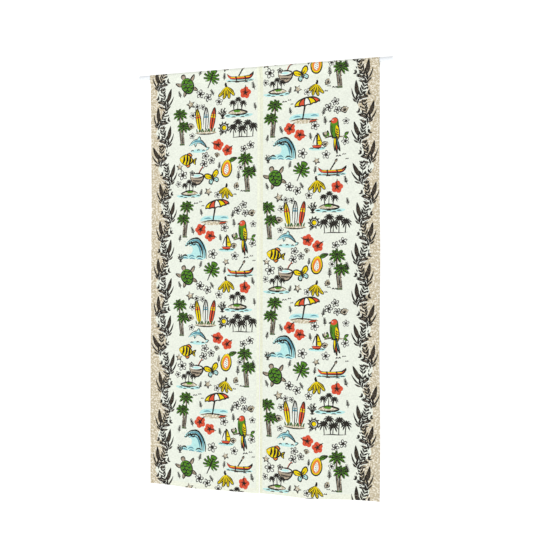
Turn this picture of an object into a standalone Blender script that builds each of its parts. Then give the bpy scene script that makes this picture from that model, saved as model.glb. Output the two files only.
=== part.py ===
"""Noren curtain: two printed cloth panels side by side, hanging by their own rod pockets from one plain rod.

Units are metres. +Z is up, X runs along the rod, and the printed face looks towards -Y.
The origin is the middle of the rod's axis.
"""

import math

import bmesh
import bpy

# The curtain as it is sold: width over both panels, and drop from the pocket's fold to the hem.
CURTAIN_WIDTH = 0.850
CURTAIN_DROP = 1.500
SLIT_AT_ROD = 0.0006
POCKET_DEPTH = 0.045

# The rod.
ROD_DIAMETER = 0.016
ROD_LENGTH = 0.940
ROD_SIDES = 48
ROD_EDGE_ROUND = 0.0008

# The cloth: one layer over the field, three where its side and bottom edges are turned to the back.
CLOTH_THICKNESS = 0.0014
HEM_THICKNESS = 0.0024
SIDE_HEM = 0.010
BOTTOM_HEM = 0.018
HEM_STEP = 0.001
ROD_CLEARANCE = 0.0004
LAYER_GAP = 0.0004
POCKET_TAIL = 0.004

# How the cloth hangs. Depths are measured forwards, out of the printed face.
BILLOW = 0.012
SLIT_SET_BACK = 0.002
SLIT_SET_BACK_REACH = 0.05
SLIT_SPREAD = 0.0008

# How each panel hangs by itself. The ripples run down the cloth side by side, growing towards the hem.
# The sway is the slow wave of the outer edge as it falls. The dip is where the hem hangs lowest, and the
# outer corner hangs higher by its lift.
# Lengths and depths are in metres, and phases in radians.
PANELS = [
    {
        "node": "panel_left", "side": -1,
        "ripple": 0.0036, "ripple_length": 0.235, "ripple_phase": 0.9,
        "sway": 0.005, "sway_length": 1.90, "sway_phase": -2.7,
        "dip": 0.003, "dip_place": 0.20, "dip_reach": 0.15, "corner_lift": 0.004,
    },
    {
        "node": "panel_right", "side": 1,
        "ripple": 0.0040, "ripple_length": 0.270, "ripple_phase": 2.4,
        "sway": 0.008, "sway_length": 0.64, "sway_phase": 4.9,
        "dip": 0.006, "dip_place": 0.16, "dip_reach": 0.10, "corner_lift": 0.001,
    },
]

# How finely the cloth is divided.
FIELD_COLUMNS = 16
ARC_ROWS = 12
POCKET_ROWS = 3
HANGING_ROWS = 30

HALF_WIDTH = CURTAIN_WIDTH / 2
ROD_RADIUS = ROD_DIAMETER / 2
FOLD_RADIUS = ROD_RADIUS + ROD_CLEARANCE + CLOTH_THICKNESS
SEAM_Z = FOLD_RADIUS - POCKET_DEPTH
FACE_Y = LAYER_GAP / 2 + CLOTH_THICKNESS
HANGING_LENGTH = CURTAIN_DROP - POCKET_DEPTH

CLOTH_COLOUR = (0.87, 0.90, 0.79, 1.0)
ROD_COLOUR = (0.90, 0.91, 0.91, 1.0)


def clear_scene():
    for old in list(bpy.data.objects):
        bpy.data.objects.remove(old, do_unlink=True)


def make_material(name, colour, roughness):
    material = bpy.data.materials.new(name)
    material.use_nodes = True
    shader = material.node_tree.nodes["Principled BSDF"]
    shader.inputs["Base Color"].default_value = colour
    shader.inputs["Roughness"].default_value = roughness
    shader.inputs["Metallic"].default_value = 0.0
    return material


def even_steps(start, end, count):
    """The places that divide start to end into count equal steps, without the start."""
    return [start + (end - start) * step / count for step in range(1, count + 1)]


def column_places():
    """Distances from the curtain's middle line to each column of one panel, from the slit out."""
    slit = SLIT_AT_ROD / 2
    places = [slit, slit + SIDE_HEM]
    field_start = slit + SIDE_HEM + HEM_STEP
    field_end = HALF_WIDTH - SIDE_HEM - HEM_STEP
    places += [field_start] + even_steps(field_start, field_end, FIELD_COLUMNS)
    return places + [HALF_WIDTH - SIDE_HEM, HALF_WIDTH]


def pocket_profile():
    """The outer face of the rod pocket as (y, z) points, from the turned edge at the back, over the rod, to the seam.

    The two straight stretches are tangents from the seam's faces to the circle round the rod.
    """
    seam_distance = math.hypot(FACE_Y, SEAM_Z)
    below = math.atan2(FACE_Y, -SEAM_Z)
    tangent = math.acos(FOLD_RADIUS / seam_distance)
    # The angle from straight down to the point where the cloth leaves the rod's circle.
    leaves = below + tangent
    half_arc = math.pi - leaves
    arc = []
    for step in range(ARC_ROWS + 1):
        angle = half_arc - 2 * half_arc * step / ARC_ROWS
        arc.append((FOLD_RADIUS * math.sin(angle), FOLD_RADIUS * math.cos(angle)))
    seam_back = (FACE_Y, SEAM_Z)
    rising = [
        (seam_back[0] + (arc[0][0] - seam_back[0]) * step / POCKET_ROWS,
         seam_back[1] + (arc[0][1] - seam_back[1]) * step / POCKET_ROWS)
        for step in range(POCKET_ROWS)
    ]
    falling = [(-y, z) for y, z in reversed(rising)]
    tail = [(FACE_Y, SEAM_Z - POCKET_TAIL)]
    return tail + rising + arc + falling


def hanging_drops():
    """Distances below the seam of each row of the hanging cloth, down to the hem's fold."""
    hem_top = HANGING_LENGTH - BOTTOM_HEM
    # The first row keeps the cloth flat behind the pocket's turned edge.
    drops = [POCKET_TAIL] + even_steps(POCKET_TAIL, hem_top - HEM_STEP, HANGING_ROWS)
    return drops + [hem_top, HANGING_LENGTH]


def forward_depth(panel, out, drop):
    """How far the printed face stands in front of the seam's plane, out from the middle line and below the seam."""
    fall = max(0.0, (drop - POCKET_TAIL) / (HANGING_LENGTH - POCKET_TAIL))
    share = out / HALF_WIDTH
    billow = BILLOW * fall ** 1.2 * (1 - share ** 2)
    ripple_angle = math.tau * out / panel["ripple_length"] + panel["ripple_phase"]
    ripple = panel["ripple"] * fall ** 0.7 * math.sin(ripple_angle)
    sway_angle = math.tau * drop / panel["sway_length"] + panel["sway_phase"]
    sway = panel["sway"] * min(1.0, 4 * fall) * share ** 4 * math.sin(sway_angle)
    set_back = 0.0
    if panel["side"] > 0:
        set_back = SLIT_SET_BACK * fall * math.exp(-(out / SLIT_SET_BACK_REACH) ** 2)
    return billow + ripple + sway - set_back


def hung_point(panel, out, drop):
    """Where a point of the printed face hangs, below the seam."""
    fall = drop / HANGING_LENGTH
    share = out / HALF_WIDTH
    spread = SLIT_SPREAD * fall * (1 - share)
    depth = forward_depth(panel, out, drop)
    from_dip = (out - panel["dip_place"]) / panel["dip_reach"]
    dip = panel["dip"] * fall ** 2 * math.exp(-from_dip ** 2)
    lift = panel["corner_lift"] * fall ** 2 * share ** 3
    return (panel["side"] * (out + spread), -FACE_Y - depth, SEAM_Z - drop - dip + lift)


def panel_surface(panel):
    """The panel's outer face as a mesh, bent from a flat grid: over the rod, then down to the hem."""
    columns = column_places()
    profile = pocket_profile()
    drops = hanging_drops()
    rows = len(profile) + len(drops)
    bpy.ops.mesh.primitive_grid_add(
        x_subdivisions=len(columns) - 1, y_subdivisions=rows - 1, size=1.0
    )
    sheet = bpy.context.object
    sheet.name = panel["node"]
    hem_columns = {columns[0], columns[1], columns[-2], columns[-1]}
    hem_points = []
    for vertex in sheet.data.vertices:
        column = round((vertex.co.x + 0.5) * (len(columns) - 1))
        row = round((vertex.co.y + 0.5) * (rows - 1))
        if panel["side"] < 0:
            column = len(columns) - 1 - column
        out = columns[column]
        if row < len(profile):
            y, z = profile[row]
            vertex.co = (panel["side"] * out, y, z)
            continue
        drop = drops[row - len(profile)]
        vertex.co = hung_point(panel, out, drop)
        below_pocket = drop > POCKET_TAIL
        in_bottom_hem = drop >= HANGING_LENGTH - BOTTOM_HEM - HEM_STEP / 2
        if below_pocket and (out in hem_columns or in_bottom_hem):
            hem_points.append(vertex.index)
    turned = sheet.vertex_groups.new(name="turned_hems")
    turned.add(hem_points, 1.0, "REPLACE")
    return sheet


def build_panel(panel, material, collection):
    """One cloth panel: its outer face, thickened towards the rod and the back."""
    sheet = panel_surface(panel)
    mesh = bmesh.new()
    mesh.from_mesh(sheet.data)
    # The grid is bent so that its last row is the hem. Its faces are turned to look out of the print.
    sample = min(mesh.faces, key=lambda face: face.calc_center_median().z)
    sample.normal_update()
    if sample.normal.y > 0:
        bmesh.ops.reverse_faces(mesh, faces=mesh.faces)
    mesh.to_mesh(sheet.data)
    mesh.free()
    thicken = sheet.modifiers.new("Cloth thickness", "SOLIDIFY")
    thicken.thickness = HEM_THICKNESS
    thicken.offset = -1.0
    thicken.vertex_group = "turned_hems"
    thicken.thickness_vertex_group = CLOTH_THICKNESS / HEM_THICKNESS
    thicken.use_even_offset = True
    thicken.use_quality_normals = True
    sheet.data.materials.append(material)
    sheet.data.shade_smooth()
    move_to_collection(sheet, collection)
    return sheet


def build_rod(material, collection):
    """The plain round rod, along X, with its rims eased."""
    bpy.ops.mesh.primitive_cylinder_add(
        vertices=ROD_SIDES, radius=ROD_RADIUS, depth=ROD_LENGTH, rotation=(0.0, math.pi / 2, 0.0)
    )
    rod = bpy.context.object
    rod.name = "rod"
    rims = rod.modifiers.new("Eased rims", "BEVEL")
    rims.width = ROD_EDGE_ROUND
    rims.segments = 2
    rims.limit_method = "ANGLE"
    rims.angle_limit = math.radians(60)
    rod.data.materials.append(material)
    rod.data.shade_smooth()
    rod.data.set_sharp_from_angle(angle=math.radians(40))
    move_to_collection(rod, collection)
    return rod


def move_to_collection(thing, collection):
    for old in list(thing.users_collection):
        old.objects.unlink(thing)
    collection.objects.link(thing)


def build():
    clear_scene()
    collection = bpy.data.collections.new("noren curtain")
    bpy.context.scene.collection.children.link(collection)
    cloth = make_material("printed cloth", CLOTH_COLOUR, 0.85)
    enamel = make_material("white enamel", ROD_COLOUR, 0.35)
    for panel in PANELS:
        build_panel(panel, cloth, collection)
    build_rod(enamel, collection)


build()
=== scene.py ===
"""The looks of a noren curtain: two printed cotton panels that hang by their own pockets from a white rod.

Lengths are metres, +Z is up, X runs along the rod and the printed face looks towards -Y. The origin is the
middle of the rod's axis. The print is drawn on the flat cloth in millimetres, and each panel is then hung on
its solid's folds.
"""

import cmath
import math
import random

import bpy
import numpy as np
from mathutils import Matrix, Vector
from mathutils.geometry import delaunay_2d_cdt


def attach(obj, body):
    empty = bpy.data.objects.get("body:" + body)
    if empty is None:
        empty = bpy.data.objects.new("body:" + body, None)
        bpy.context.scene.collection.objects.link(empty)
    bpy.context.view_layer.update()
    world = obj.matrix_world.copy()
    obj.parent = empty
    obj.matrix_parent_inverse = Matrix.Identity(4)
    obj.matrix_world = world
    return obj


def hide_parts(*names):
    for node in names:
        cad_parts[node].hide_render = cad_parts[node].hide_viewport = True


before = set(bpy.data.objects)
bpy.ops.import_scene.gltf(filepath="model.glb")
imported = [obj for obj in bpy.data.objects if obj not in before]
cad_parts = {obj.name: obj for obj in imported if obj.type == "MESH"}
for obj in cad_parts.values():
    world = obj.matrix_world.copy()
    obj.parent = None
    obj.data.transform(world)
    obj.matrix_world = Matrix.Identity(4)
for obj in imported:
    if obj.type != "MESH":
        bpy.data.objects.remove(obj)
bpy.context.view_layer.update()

# Millimetres in a metre.
MM = 1000.0

# The curtain and its rod, as in the solids.
CURTAIN_WIDTH = 0.850
CURTAIN_DROP = 1.500
SLIT_AT_ROD = 0.0006
POCKET_DEPTH = 0.045
POCKET_TAIL = 0.004
ROD_RADIUS = 0.008
SOLID_FOLD_RADIUS = 0.0098
SIDE_HEM = 0.010
BOTTOM_HEM = 0.018

# The cloth as it is here: one thin layer, and three where an edge is turned to the back.
CLOTH = 0.0005
TURNED_CLOTH = 0.0013
HEM_STEP = 0.0006
ROD_CLEARANCE = 0.0004
LAYER_GAP = 0.0004

# How far below the pocket's tail the side hems begin, and where they are whole.
SIDE_HEM_BEGINS = 0.002
SIDE_HEM_WHOLE = 0.004

# How the cloth hangs, as in the solids. Depths are measured forwards, out of the printed face. The billow
# and the ripples grow downwards, as these powers of the share of the drop.
BILLOW = 0.012
BILLOW_GROWTH = 1.2
RIPPLE_GROWTH = 0.7
SLIT_SET_BACK = 0.002
SLIT_SET_BACK_REACH = 0.05
SLIT_SPREAD = 0.0008
PANELS = [
    {
        "node": "panel_left", "side": -1,
        "ripple": 0.0036, "ripple_length": 0.235, "ripple_phase": 0.9,
        "sway": 0.005, "sway_length": 1.90, "sway_phase": -2.7,
        "dip": 0.003, "dip_place": 0.20, "dip_reach": 0.15, "corner_lift": 0.004,
    },
    {
        "node": "panel_right", "side": 1,
        "ripple": 0.0040, "ripple_length": 0.270, "ripple_phase": 2.4,
        "sway": 0.008, "sway_length": 0.64, "sway_phase": 4.9,
        "dip": 0.006, "dip_place": 0.16, "dip_reach": 0.10, "corner_lift": 0.001,
    },
]

# Small gathers where thread draws the cloth in, first below the pocket's seam.
SEAM_GATHER = 0.0009
SEAM_GATHER_REACH = 0.045
SEAM_GATHER_ONSET = 0.008
SEAM_GATHER_WAVES = (0.031, 0.047, 0.019)

# The gathers on the pocket.
POCKET_GATHER = 0.0014
POCKET_GATHER_WAVES = (0.083, 0.052, 0.029)
POCKET_GATHER_PHASE = 2.2

# The gathers along the side hems, whose phase shifts from one hem to the other.
HEM_GATHER = 0.0007
HEM_GATHER_REACH = 0.016
HEM_GATHER_ONSET = 0.02
HEM_GATHER_WAVES = (0.043, 0.027, 0.068)
HEM_GATHER_SHIFT = 0.4

# The phase of the gathers at the seam and the hems.
GATHER_PHASE = 0.9

HALF_WIDTH = CURTAIN_WIDTH / 2
FOLD_RADIUS = ROD_RADIUS + ROD_CLEARANCE + CLOTH
SEAM_Z = SOLID_FOLD_RADIUS - POCKET_DEPTH
FACE_Y = LAYER_GAP / 2 + CLOTH
HANGING_LENGTH = CURTAIN_DROP - POCKET_DEPTH

# How finely the flat cloth is divided besides the lines of its print, in millimetres.
COLUMN_STEP = 20.0
ROW_STEP = 26.0
SEAM_ROW_STEP = 7.0
FOLD_ROW_STEP = 2.0

# Points of the print that are nearer to each other than this are one, in millimetres.
JOIN = 0.02

# How many points the pocket's bend over the rod has.
BEND_POINTS = 61

# The sewing: stitches like grains of rice.
STITCH_PITCH = 0.0034
STITCH_LENGTH = 0.0027
STITCH_WIDTH = 0.0006
STITCH_RISE = 0.0003
STITCH_UNEVENNESS = 0.00006

# A stitch's points: how far along it they lie, and how full it is there. Its two ends are single points.
STITCH_RINGS = ((0.0, 0.0), (0.22, 0.85), (0.5, 1.0), (0.78, 0.85), (1.0, 0.0))

# How deep a stitch's ends lie in the cloth, and how far its middle arches up, as shares of its rise.
STITCH_SINK = 0.2
STITCH_ARCH = 0.35

# Its rows: how far in from each fold they are, as a share of the hem's width, and where they end.
STITCH_FROM_FOLD = 0.85
ROW_END_BELOW_POCKET = 0.006
ROW_END_FROM_EDGE = 0.001

# The camera: level, to the right of the curtain's front. Pixels are those of the 533 by 533 photograph.
VIEW_TURN = math.radians(18.6)
VIEW_DISTANCE = 3.144
VIEW_ASIDE = 0.0212
PICTURE = 533
FOCAL_LENGTH_PIXELS = 893.0
HORIZON_BELOW_MIDDLE_PIXELS = 12.8
SENSOR = 36.0

# The plain stage.
FLOOR_Z = -1.92
FLOOR_SIZE = 30.0
FLOOR_GLOW = 0.50
SURROUND_LIGHT = 0.58
SURROUND_SEEN = 1.1

# Lamps: name, place, what it faces, size and power in watts.
LAMPS = (
    ("left light", (-3.0, -2.6, 0.9), (0.0, 0.0, -0.7), 1.6, 30.0),
    ("right light", (3.0, -2.6, 1.6), (0.0, 0.0, -0.7), 1.6, 26.0),
    ("back light", (2.6, 3.0, 0.6), (0.0, 0.0, -0.7), 1.6, 46.0),
)

# The inks, as the eye reads them on the cloth, from 0 to 255.
INKS = {
    "line": (26, 19, 15),
    "soft_line": (112, 106, 96),
    "bark": (178, 162, 141),
    "sand": (202, 189, 159),
    "leaf": (86, 142, 38),
    "deep_leaf": (52, 92, 36),
    "yellow": (243, 216, 8),
    "orange": (240, 138, 62),
    "red": (224, 88, 58),
    "deep_red": (198, 58, 44),
    "blue": (192, 239, 236),
    "teal": (96, 156, 172),
    "paper": (246, 249, 240),
    "heartwood": (98, 85, 70),
    "cloth": (240, 245, 232),
    "hem": (243, 246, 229),
    # Bare margins along the slit: the left painted lighter where its edge lifts into the light, the right
    # painted in shade.
    "slit_margin_painted_light": (246, 250, 229),
    "slit_margin_painted_shade": (238, 241, 217),
    "reverse": (238, 242, 230),
}

# A brushed stroke is this many times as wide as a fine pen's, and this many millimetres wider still.
BRUSH_SWELL = 2.0
BRUSH = 2.35
BRUSHED_INKS = ("line", "soft_line", "teal", "deep_leaf")

# The least and most that a stroke's width is of its own measure from one point to the next.
STROKE_WIDTHS = (0.8, 1.15)

# The least and most that a hatched stroke reaches of its own measure.
HATCH_REACHES = (0.7, 1.2)

# Which way a wash of colour is printed out of place.
SLIP_WAY = 0.7 - 0.7j

# Inks laid on with a brush so dry that the cloth shows through their strokes.
DRY_INKS = ("line", "soft_line", "bark", "deep_leaf")

# How much of that dryness the other inks have, and how much of the cloth a dry stroke shows at most.
OTHER_INKS_DRYNESS = 0.25
MOST_THIN = 0.25


def smooth(points, closed=False, step=4.0):
    """A soft curve through the points, with a new point about every step millimetres."""
    pts = np.asarray(points, complex)
    if closed:
        held = np.concatenate([pts[-1:], pts, pts[:2]])
    else:
        held = np.concatenate([2 * pts[:1] - pts[1:2], pts, 2 * pts[-1:] - pts[-2:-1]])
    runs = []
    for a, b, c, d in zip(held, held[1:], held[2:], held[3:]):
        count = max(1, round(abs(c - b) / step))
        t = np.arange(count) / count
        bend = (2 * a - 5 * b + 4 * c - d) * t ** 2 + (3 * b - a - 3 * c + d) * t ** 3
        runs.append((2 * b + (c - a) * t + bend) / 2)
    if not closed:
        runs.append(held[-2:-1])
    return np.concatenate(runs)


def polar(length, degrees):
    """The point this far from the origin, in this direction."""
    return cmath.rect(length, math.radians(degrees))


class Pen:
    """Draws the print's marks. Points are complex numbers, x + y * 1j, in millimetres on the flat cloth.

    Every mark is an outline and the ink inside it, and a later mark prints over an earlier one.
    """

    def __init__(self):
        self.marks = []
        self.at = 0
        self.turn = 1
        self.flip = False
        self.hand = random.Random(0)

    def settle(self, at, degrees=0.0, size=1.0, flip=False, seed=0):
        """Moves the pen's own paper: where a motif's origin lies, how it is turned and how large it is."""
        self.at = at
        self.turn = polar(size, degrees)
        self.flip = flip
        self.hand = random.Random(seed)

    def mark(self, points, ink):
        """An outline filled with ink, moved to where the motif stands."""
        pts = np.asarray(points, complex)
        if self.flip:
            pts = -pts.conj()
        self.marks.append((ink, self.at + self.turn * pts))

    def fill(self, points, ink, step=4.0, soft=True):
        """A wash of ink inside these points, with its corners rounded where it is soft."""
        self.mark(smooth(points, True, step) if soft else points, ink)

    def line(self, points, ink="line", width=1.1, start=0.35, end=0.15, step=4.0):
        """A brush stroke that swells to its width between its start and its end, given as shares of it."""
        if ink in BRUSHED_INKS:
            width = BRUSH + BRUSH_SWELL * width
        spine = smooth(points, False, step)
        along = np.linspace(0.0, 1.0, len(spine))
        swell = np.minimum(start + (1 - start) * along * 3, end + (1 - end) * (1 - along) * 3).clip(0, 1)
        uneven = np.array([self.hand.uniform(*STROKE_WIDTHS) for point in spine])
        side = np.gradient(spine)
        side = 1j * side / np.maximum(abs(side), 1e-9) * (width / 2 * swell * uneven)
        self.mark(np.concatenate([spine + side, (spine - side)[::-1]]), ink)

    def outline(self, points, ink="line", width=1.0, soft=True, step=4.0, share=0.97):
        """A line nearly round a shape, leaving the small gap that a brush leaves."""
        ring = smooth(points, True, step) if soft else np.append(points, points[0])
        ring = ring[:max(3, int(len(ring) * share) + 1)]
        self.line(ring, ink, width, step=1e9)

    def shape(self, points, ink, width=1.0, slip=0.8, step=4.0, soft=True):
        """A wash of colour with a line round it, the wash printed a little out of place."""
        pts = np.asarray(points, complex)
        self.fill(pts + slip * SLIP_WAY, ink, step, soft)
        self.outline(pts, "line", width, soft, step)

    def dot(self, at, radius, ink, sides=7):
        """A round spot."""
        ring = at + radius * np.exp(2j * np.pi * np.arange(sides) / sides)
        self.mark(ring, ink)

    def hatch(self, start, end, count, reach, ink="line", width=0.7):
        """Short strokes side by side from start to end, each reaching out by reach."""
        for k in range(count):
            root = start + (end - start) * (k + 0.5) / count
            tip = root + reach * self.hand.uniform(*HATCH_REACHES)
            self.line([root, (root + tip) / 2 + 0.1 * (end - start) / count, tip], ink, width)


def frond(pen, root, degrees, length, droop, breadth):
    """One palm frond: a green blade that droops, a dark one half hidden under it, and dark strokes on it."""
    t = np.linspace(0.0, 1.0, 5)
    spine = root + length * t * polar(1, degrees) - 1j * droop * t ** 2
    run = np.gradient(spine)
    run = run / abs(run)
    under = -1 if abs(degrees) < 90 else 1
    half = breadth * np.array([0.25, 0.42, 0.44, 0.34, 0.05])
    for shift, ink in ((0.52 * under, "line"), (0.0, "leaf")):
        middle = spine + 1j * run * breadth * shift * np.array([0.3, 0.8, 1.0, 1.0, 0.6])
        teeth = 0.22 * breadth * run * np.array([0, 1, -1, 1, 0])
        upper = middle + 1j * run * half + teeth
        lower = middle - 1j * run * half - teeth
        pen.mark(np.concatenate([upper, lower[::-1]]), ink)
    for k in (1, 2, 3):
        for side in (-1, 1):
            foot = spine[k] - 0.2 * breadth * run[k]
            pen.line([foot, foot + (0.5 + 0.42j * side) * breadth * run[k]], "line", 0.1, 1, 0.3, 20)


def palm(pen, height=118, lean=10, spread=30):
    """A tall coconut palm and a shorter one in front of it, drawn with a full brush."""
    crown = (
        (-58, 0.80), (238, 0.82), (-22, 0.98), (202, 1.0), (12, 1.0),
        (168, 0.98), (48, 0.9), (132, 0.92), (88, 0.84),
    )
    for foot, top, size in ((5, lean + height * 1j, 1.0), (-3, -4 + height * 0.62j, 0.94)):
        middle = (foot + top) / 2 + 3
        pen.line([foot, middle, top], "bark", 5.5, 1.0, 0.75, 12)
        pen.line([foot + 2.4, middle + 2.4, top + 1.8], "line", 0.6, 0.7, 0.6, 14)
        pen.line([foot - 2.4, middle - 2.4], "soft_line", 0.8, 0.6, 0.3, 14)
        for k in range(3):
            ring = foot + (top - foot) * (0.16 + 0.2 * k) + 1.5
            pen.line([ring - 3, ring + 1 - 1.5j], "line", 0.5, 1, 0.5, 20)
        for degrees, share in crown:
            frond(pen, top, degrees, spread * share * size, spread * 0.22 * (1 + 0.5 * share), spread * 0.26)
        pen.dot(top - 1j, 4.0, "line")
    pen.hatch(-8, 12, 5, 1 + 7j, "deep_leaf", 1.0)


def small_palm(pen, root, height, lean=2.0, reach=8.0):
    """A palm far off, all in the dark line."""
    top = root + lean + height * 1j
    width = (0.17 * reach - 1.0) / 1.3
    pen.line([root, root + lean * 0.3 + height * 0.5j, top], "line", 0.5, 1, 0.6, 9)
    for degrees in (-52, -20, 14, 50, 90, 130, 166, 200, 232):
        middle = top + polar(reach * 0.55, degrees) + 0.16j * reach
        tip = top + polar(reach, degrees) - 0.2j * reach
        pen.line([top, middle, tip], "line", width, 0.7, 0.2, 6)


def hibiscus(pen, radius=22):
    """A red flower of five round petals, darker red at their rims, with a dark heart and a long stamen."""
    rim = np.exp(2j * np.pi * np.arange(9) / 9) * (1, 0.93, 1.04, 0.95, 1.02, 0.94, 1.03, 0.96, 1.0)
    for k in range(5):
        out = polar(1, 90 + 72 * k)
        petal = radius * out * (0.56 + 0.43 * rim)
        pen.fill(petal, "red", 6)
        pen.outline(petal, "deep_red", 1.7, step=6, share=0.7)
        pen.outline(radius * out * (0.6 + 0.22 * rim), "deep_red", 1.3, step=6, share=0.6)
    for k in range(5):
        for turn, reach in ((-15, 0.44), (9, 0.6)):
            pen.line([0, polar(radius * reach, 90 + 72 * k + turn)], "line", 0.2, 1, 0.1)
    pen.dot(0, radius * 0.15, "line")
    tip = polar(radius * 1.22, 28)
    pen.line([0, tip * 0.5 + 2j, tip], "line", 0.7, 1, 0.8)


def frangipani(pen, at=0, radius=20, turn=0.0):
    """A white flower in line, five overlapping petals with a shaded heart."""
    whole_petal = np.array([0.06, 0.5 - 0.30j, 0.86 - 0.20j, 1.0 + 0.06j, 0.72 + 0.26j, 0.3 + 0.14j])
    for k in range(5):
        spin = polar(1, turn + 72 * k)
        petal = radius * spin * whole_petal
        pen.fill(at + petal, "paper", 7)
        pen.outline(at + petal, "line", 0.7, step=5, share=0.9)
        for lift in (-0.12, 0.08):
            tip = at + radius * spin * (0.46 + lift * 1j)
            pen.line([at + radius * spin * 0.08, tip], "line", 0.4, 1, 0.1)
    pen.dot(at, radius * 0.11, "line", 6)


def frangipani_pair(pen):
    """Two white flowers side by side."""
    frangipani(pen, -14 + 6j, 16, 10)
    frangipani(pen, 15 - 8j, 15, 40)


def frangipani_three(pen):
    """Three white flowers close together."""
    frangipani(pen, -15 - 4j, 15, 0)
    frangipani(pen, 8 + 15j, 14, 30)
    frangipani(pen, 15 - 14j, 13, 55)


def leaf_blade(root, tip, breadth, bend=0.0):
    """The outline of a pointed leaf from root to tip."""
    run = tip - root
    side = 1j * run / abs(run)
    shares = ((0.0, 0.12), (0.22, 0.75), (0.45, 1.0), (0.72, 0.7), (1.0, 0.0))
    upper = [root + run * s + side * (breadth * w + bend * s * (1 - s)) for s, w in shares]
    lower = [root + run * s - side * (breadth * w - bend * s * (1 - s)) for s, w in shares]
    return upper + lower[-2:0:-1]


def monstera(pen, size=42):
    """A broad split leaf, green, with its ribs in line."""
    edge = []
    for degrees in range(-160, 161, 10):
        heart = 1 - 0.28 * abs(degrees) / 160 if abs(degrees) < 130 else 0.72 - 0.02 * (abs(degrees) - 130)
        cut = 0.52 if abs(degrees) in (30, 60, 90, 120) else 1.0
        edge.append(size * heart * cut * polar(1, 90 + degrees) * (0.95 if cut < 1 else 1))
    edge.append(-0.1j * size)
    pen.shape(edge, "leaf", 1.0, 1.0, soft=False)
    pen.line([-1.0j * size, -0.1j * size, 0.9j * size], "line", 1.6, 0.8, 0.1, 12)
    for side in (-1, 1):
        for degrees, foot in ((18, 0.5), (45, 0.3), (75, 0.12), (105, 0.0)):
            root = foot * size * 1j
            tip = polar(size * 0.74, 90 + side * degrees)
            pen.line([root, (root + tip) / 2 + 1j, tip], "line", 0.9, 1, 0.1)


def bananas(pen):
    """A hand of four bananas."""
    finger = np.array([0, 8 - 16j, 10 - 34j, 5 - 50j, 1 - 53j, -3 - 48j, -3 - 32j, -4 - 16j])
    for degrees in (-52, -24, 4, 32):
        spin = polar(1, degrees)
        pen.shape(finger * spin, "yellow", 1.1, 1.0, 7)
        pen.line(np.array([2 - 10j, 4 - 30j, 2 - 46j]) * spin, "line", 0.7)
        pen.dot((0.5 - 52.5j) * spin, 1.6, "line", 5)
    pen.fill([-5 + 1j, -3 + 11j, 3 + 11j, 5 + 1j, 0 - 4j], "line", 6)
    pen.line([0, -2 + 9j, 3 + 16j], "line", 3.2, 1, 0.8)


def papaya(pen):
    """Half a papaya, cut to show its seeds, with a leaf behind."""
    pen.shape(leaf_blade(4 + 22j, 34 + 40j, 7, 6), "leaf", 0.9)
    pen.line([4 + 22j, 18 + 33j, 32 + 39j], "line", 0.8)
    skin = [30j, 13 + 20j, 20 - 4j, 13 - 26j, -32j, -13 - 26j, -20 - 4j, -13 + 20j]
    pen.shape(skin, "yellow", 1.3, 1.0, 6)
    pen.fill(0.78 * np.array(skin) - 1j, "orange", 6)
    pen.fill([15j, 6 + 4j, 8 - 12j, -22j, -8 - 12j, -6 + 4j], "paper", 6)
    for k in range(9):
        pen.dot((3.4 if k % 2 else -3.2) * (0.6 + 0.05 * k) + (8 - 3.4 * k) * 1j, 1.7, "line", 5)


def parrot(pen):
    """A parrot on a branch, its tail hanging below."""
    pen.line([-34 - 26j, -8 - 20j, 30 - 24j, 40 - 18j], "bark", 5, 0.8, 0.5)
    pen.line([-34 - 28j, -8 - 22.5j, 30 - 26.5j], "line", 0.9)
    twigs = ((-26 - 24j, -40 - 8j), (-20 - 22j, -24 - 2j), (32 - 22j, 48 - 34j), (36 - 20j, 50 - 10j))
    for root, tip in twigs:
        pen.shape(leaf_blade(root, tip, 4.5, 2), "leaf", 0.8)
    for tip, ink in ((20 - 74j, "teal"), (10 - 82j, "red"), (2 - 72j, "yellow")):
        pen.shape(leaf_blade(2 - 18j, tip, 4.0, 1), ink, 0.9)
    body = [-8 + 38j, 4 + 42j, 12 + 34j, 14 + 16j, 16 - 6j, 8 - 24j, -2 - 28j, -10 - 14j, -14 + 6j,
            -13 + 26j]
    pen.shape(body, "leaf", 1.1, 0.8, 7)
    pen.fill([-9 + 37j, 4 + 41j, 11 + 33j, 6 + 24j, -6 + 22j, -12 + 28j], "red", 6)
    wing = [6 + 16j, 15 + 8j, 18 - 12j, 14 - 34j, 8 - 26j, 3 - 8j]
    pen.shape(wing, "yellow", 1.0, 0.8, 7)
    for k in range(4):
        pen.line([6 + (4 - 8 * k) * 1j, 11 - (2 + 8 * k) * 1j, 16 - (1 + 8 * k) * 1j], "line", 0.9)
    pen.fill([-10 + 34j, -17 + 32j, -19 + 25j, -14 + 27j, -10 + 27j], "line", 5)
    pen.dot(-5 + 33j, 2.2, "paper")
    pen.dot(-5 + 33j, 1.0, "line", 5)
    pen.hatch(-11 + 16j, -9 - 8j, 6, 5 - 2j)
    pen.line([-6 - 24j, -8 - 30j], "line", 1.6)
    pen.line([2 - 26j, 1 - 31j], "line", 1.6)


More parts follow.
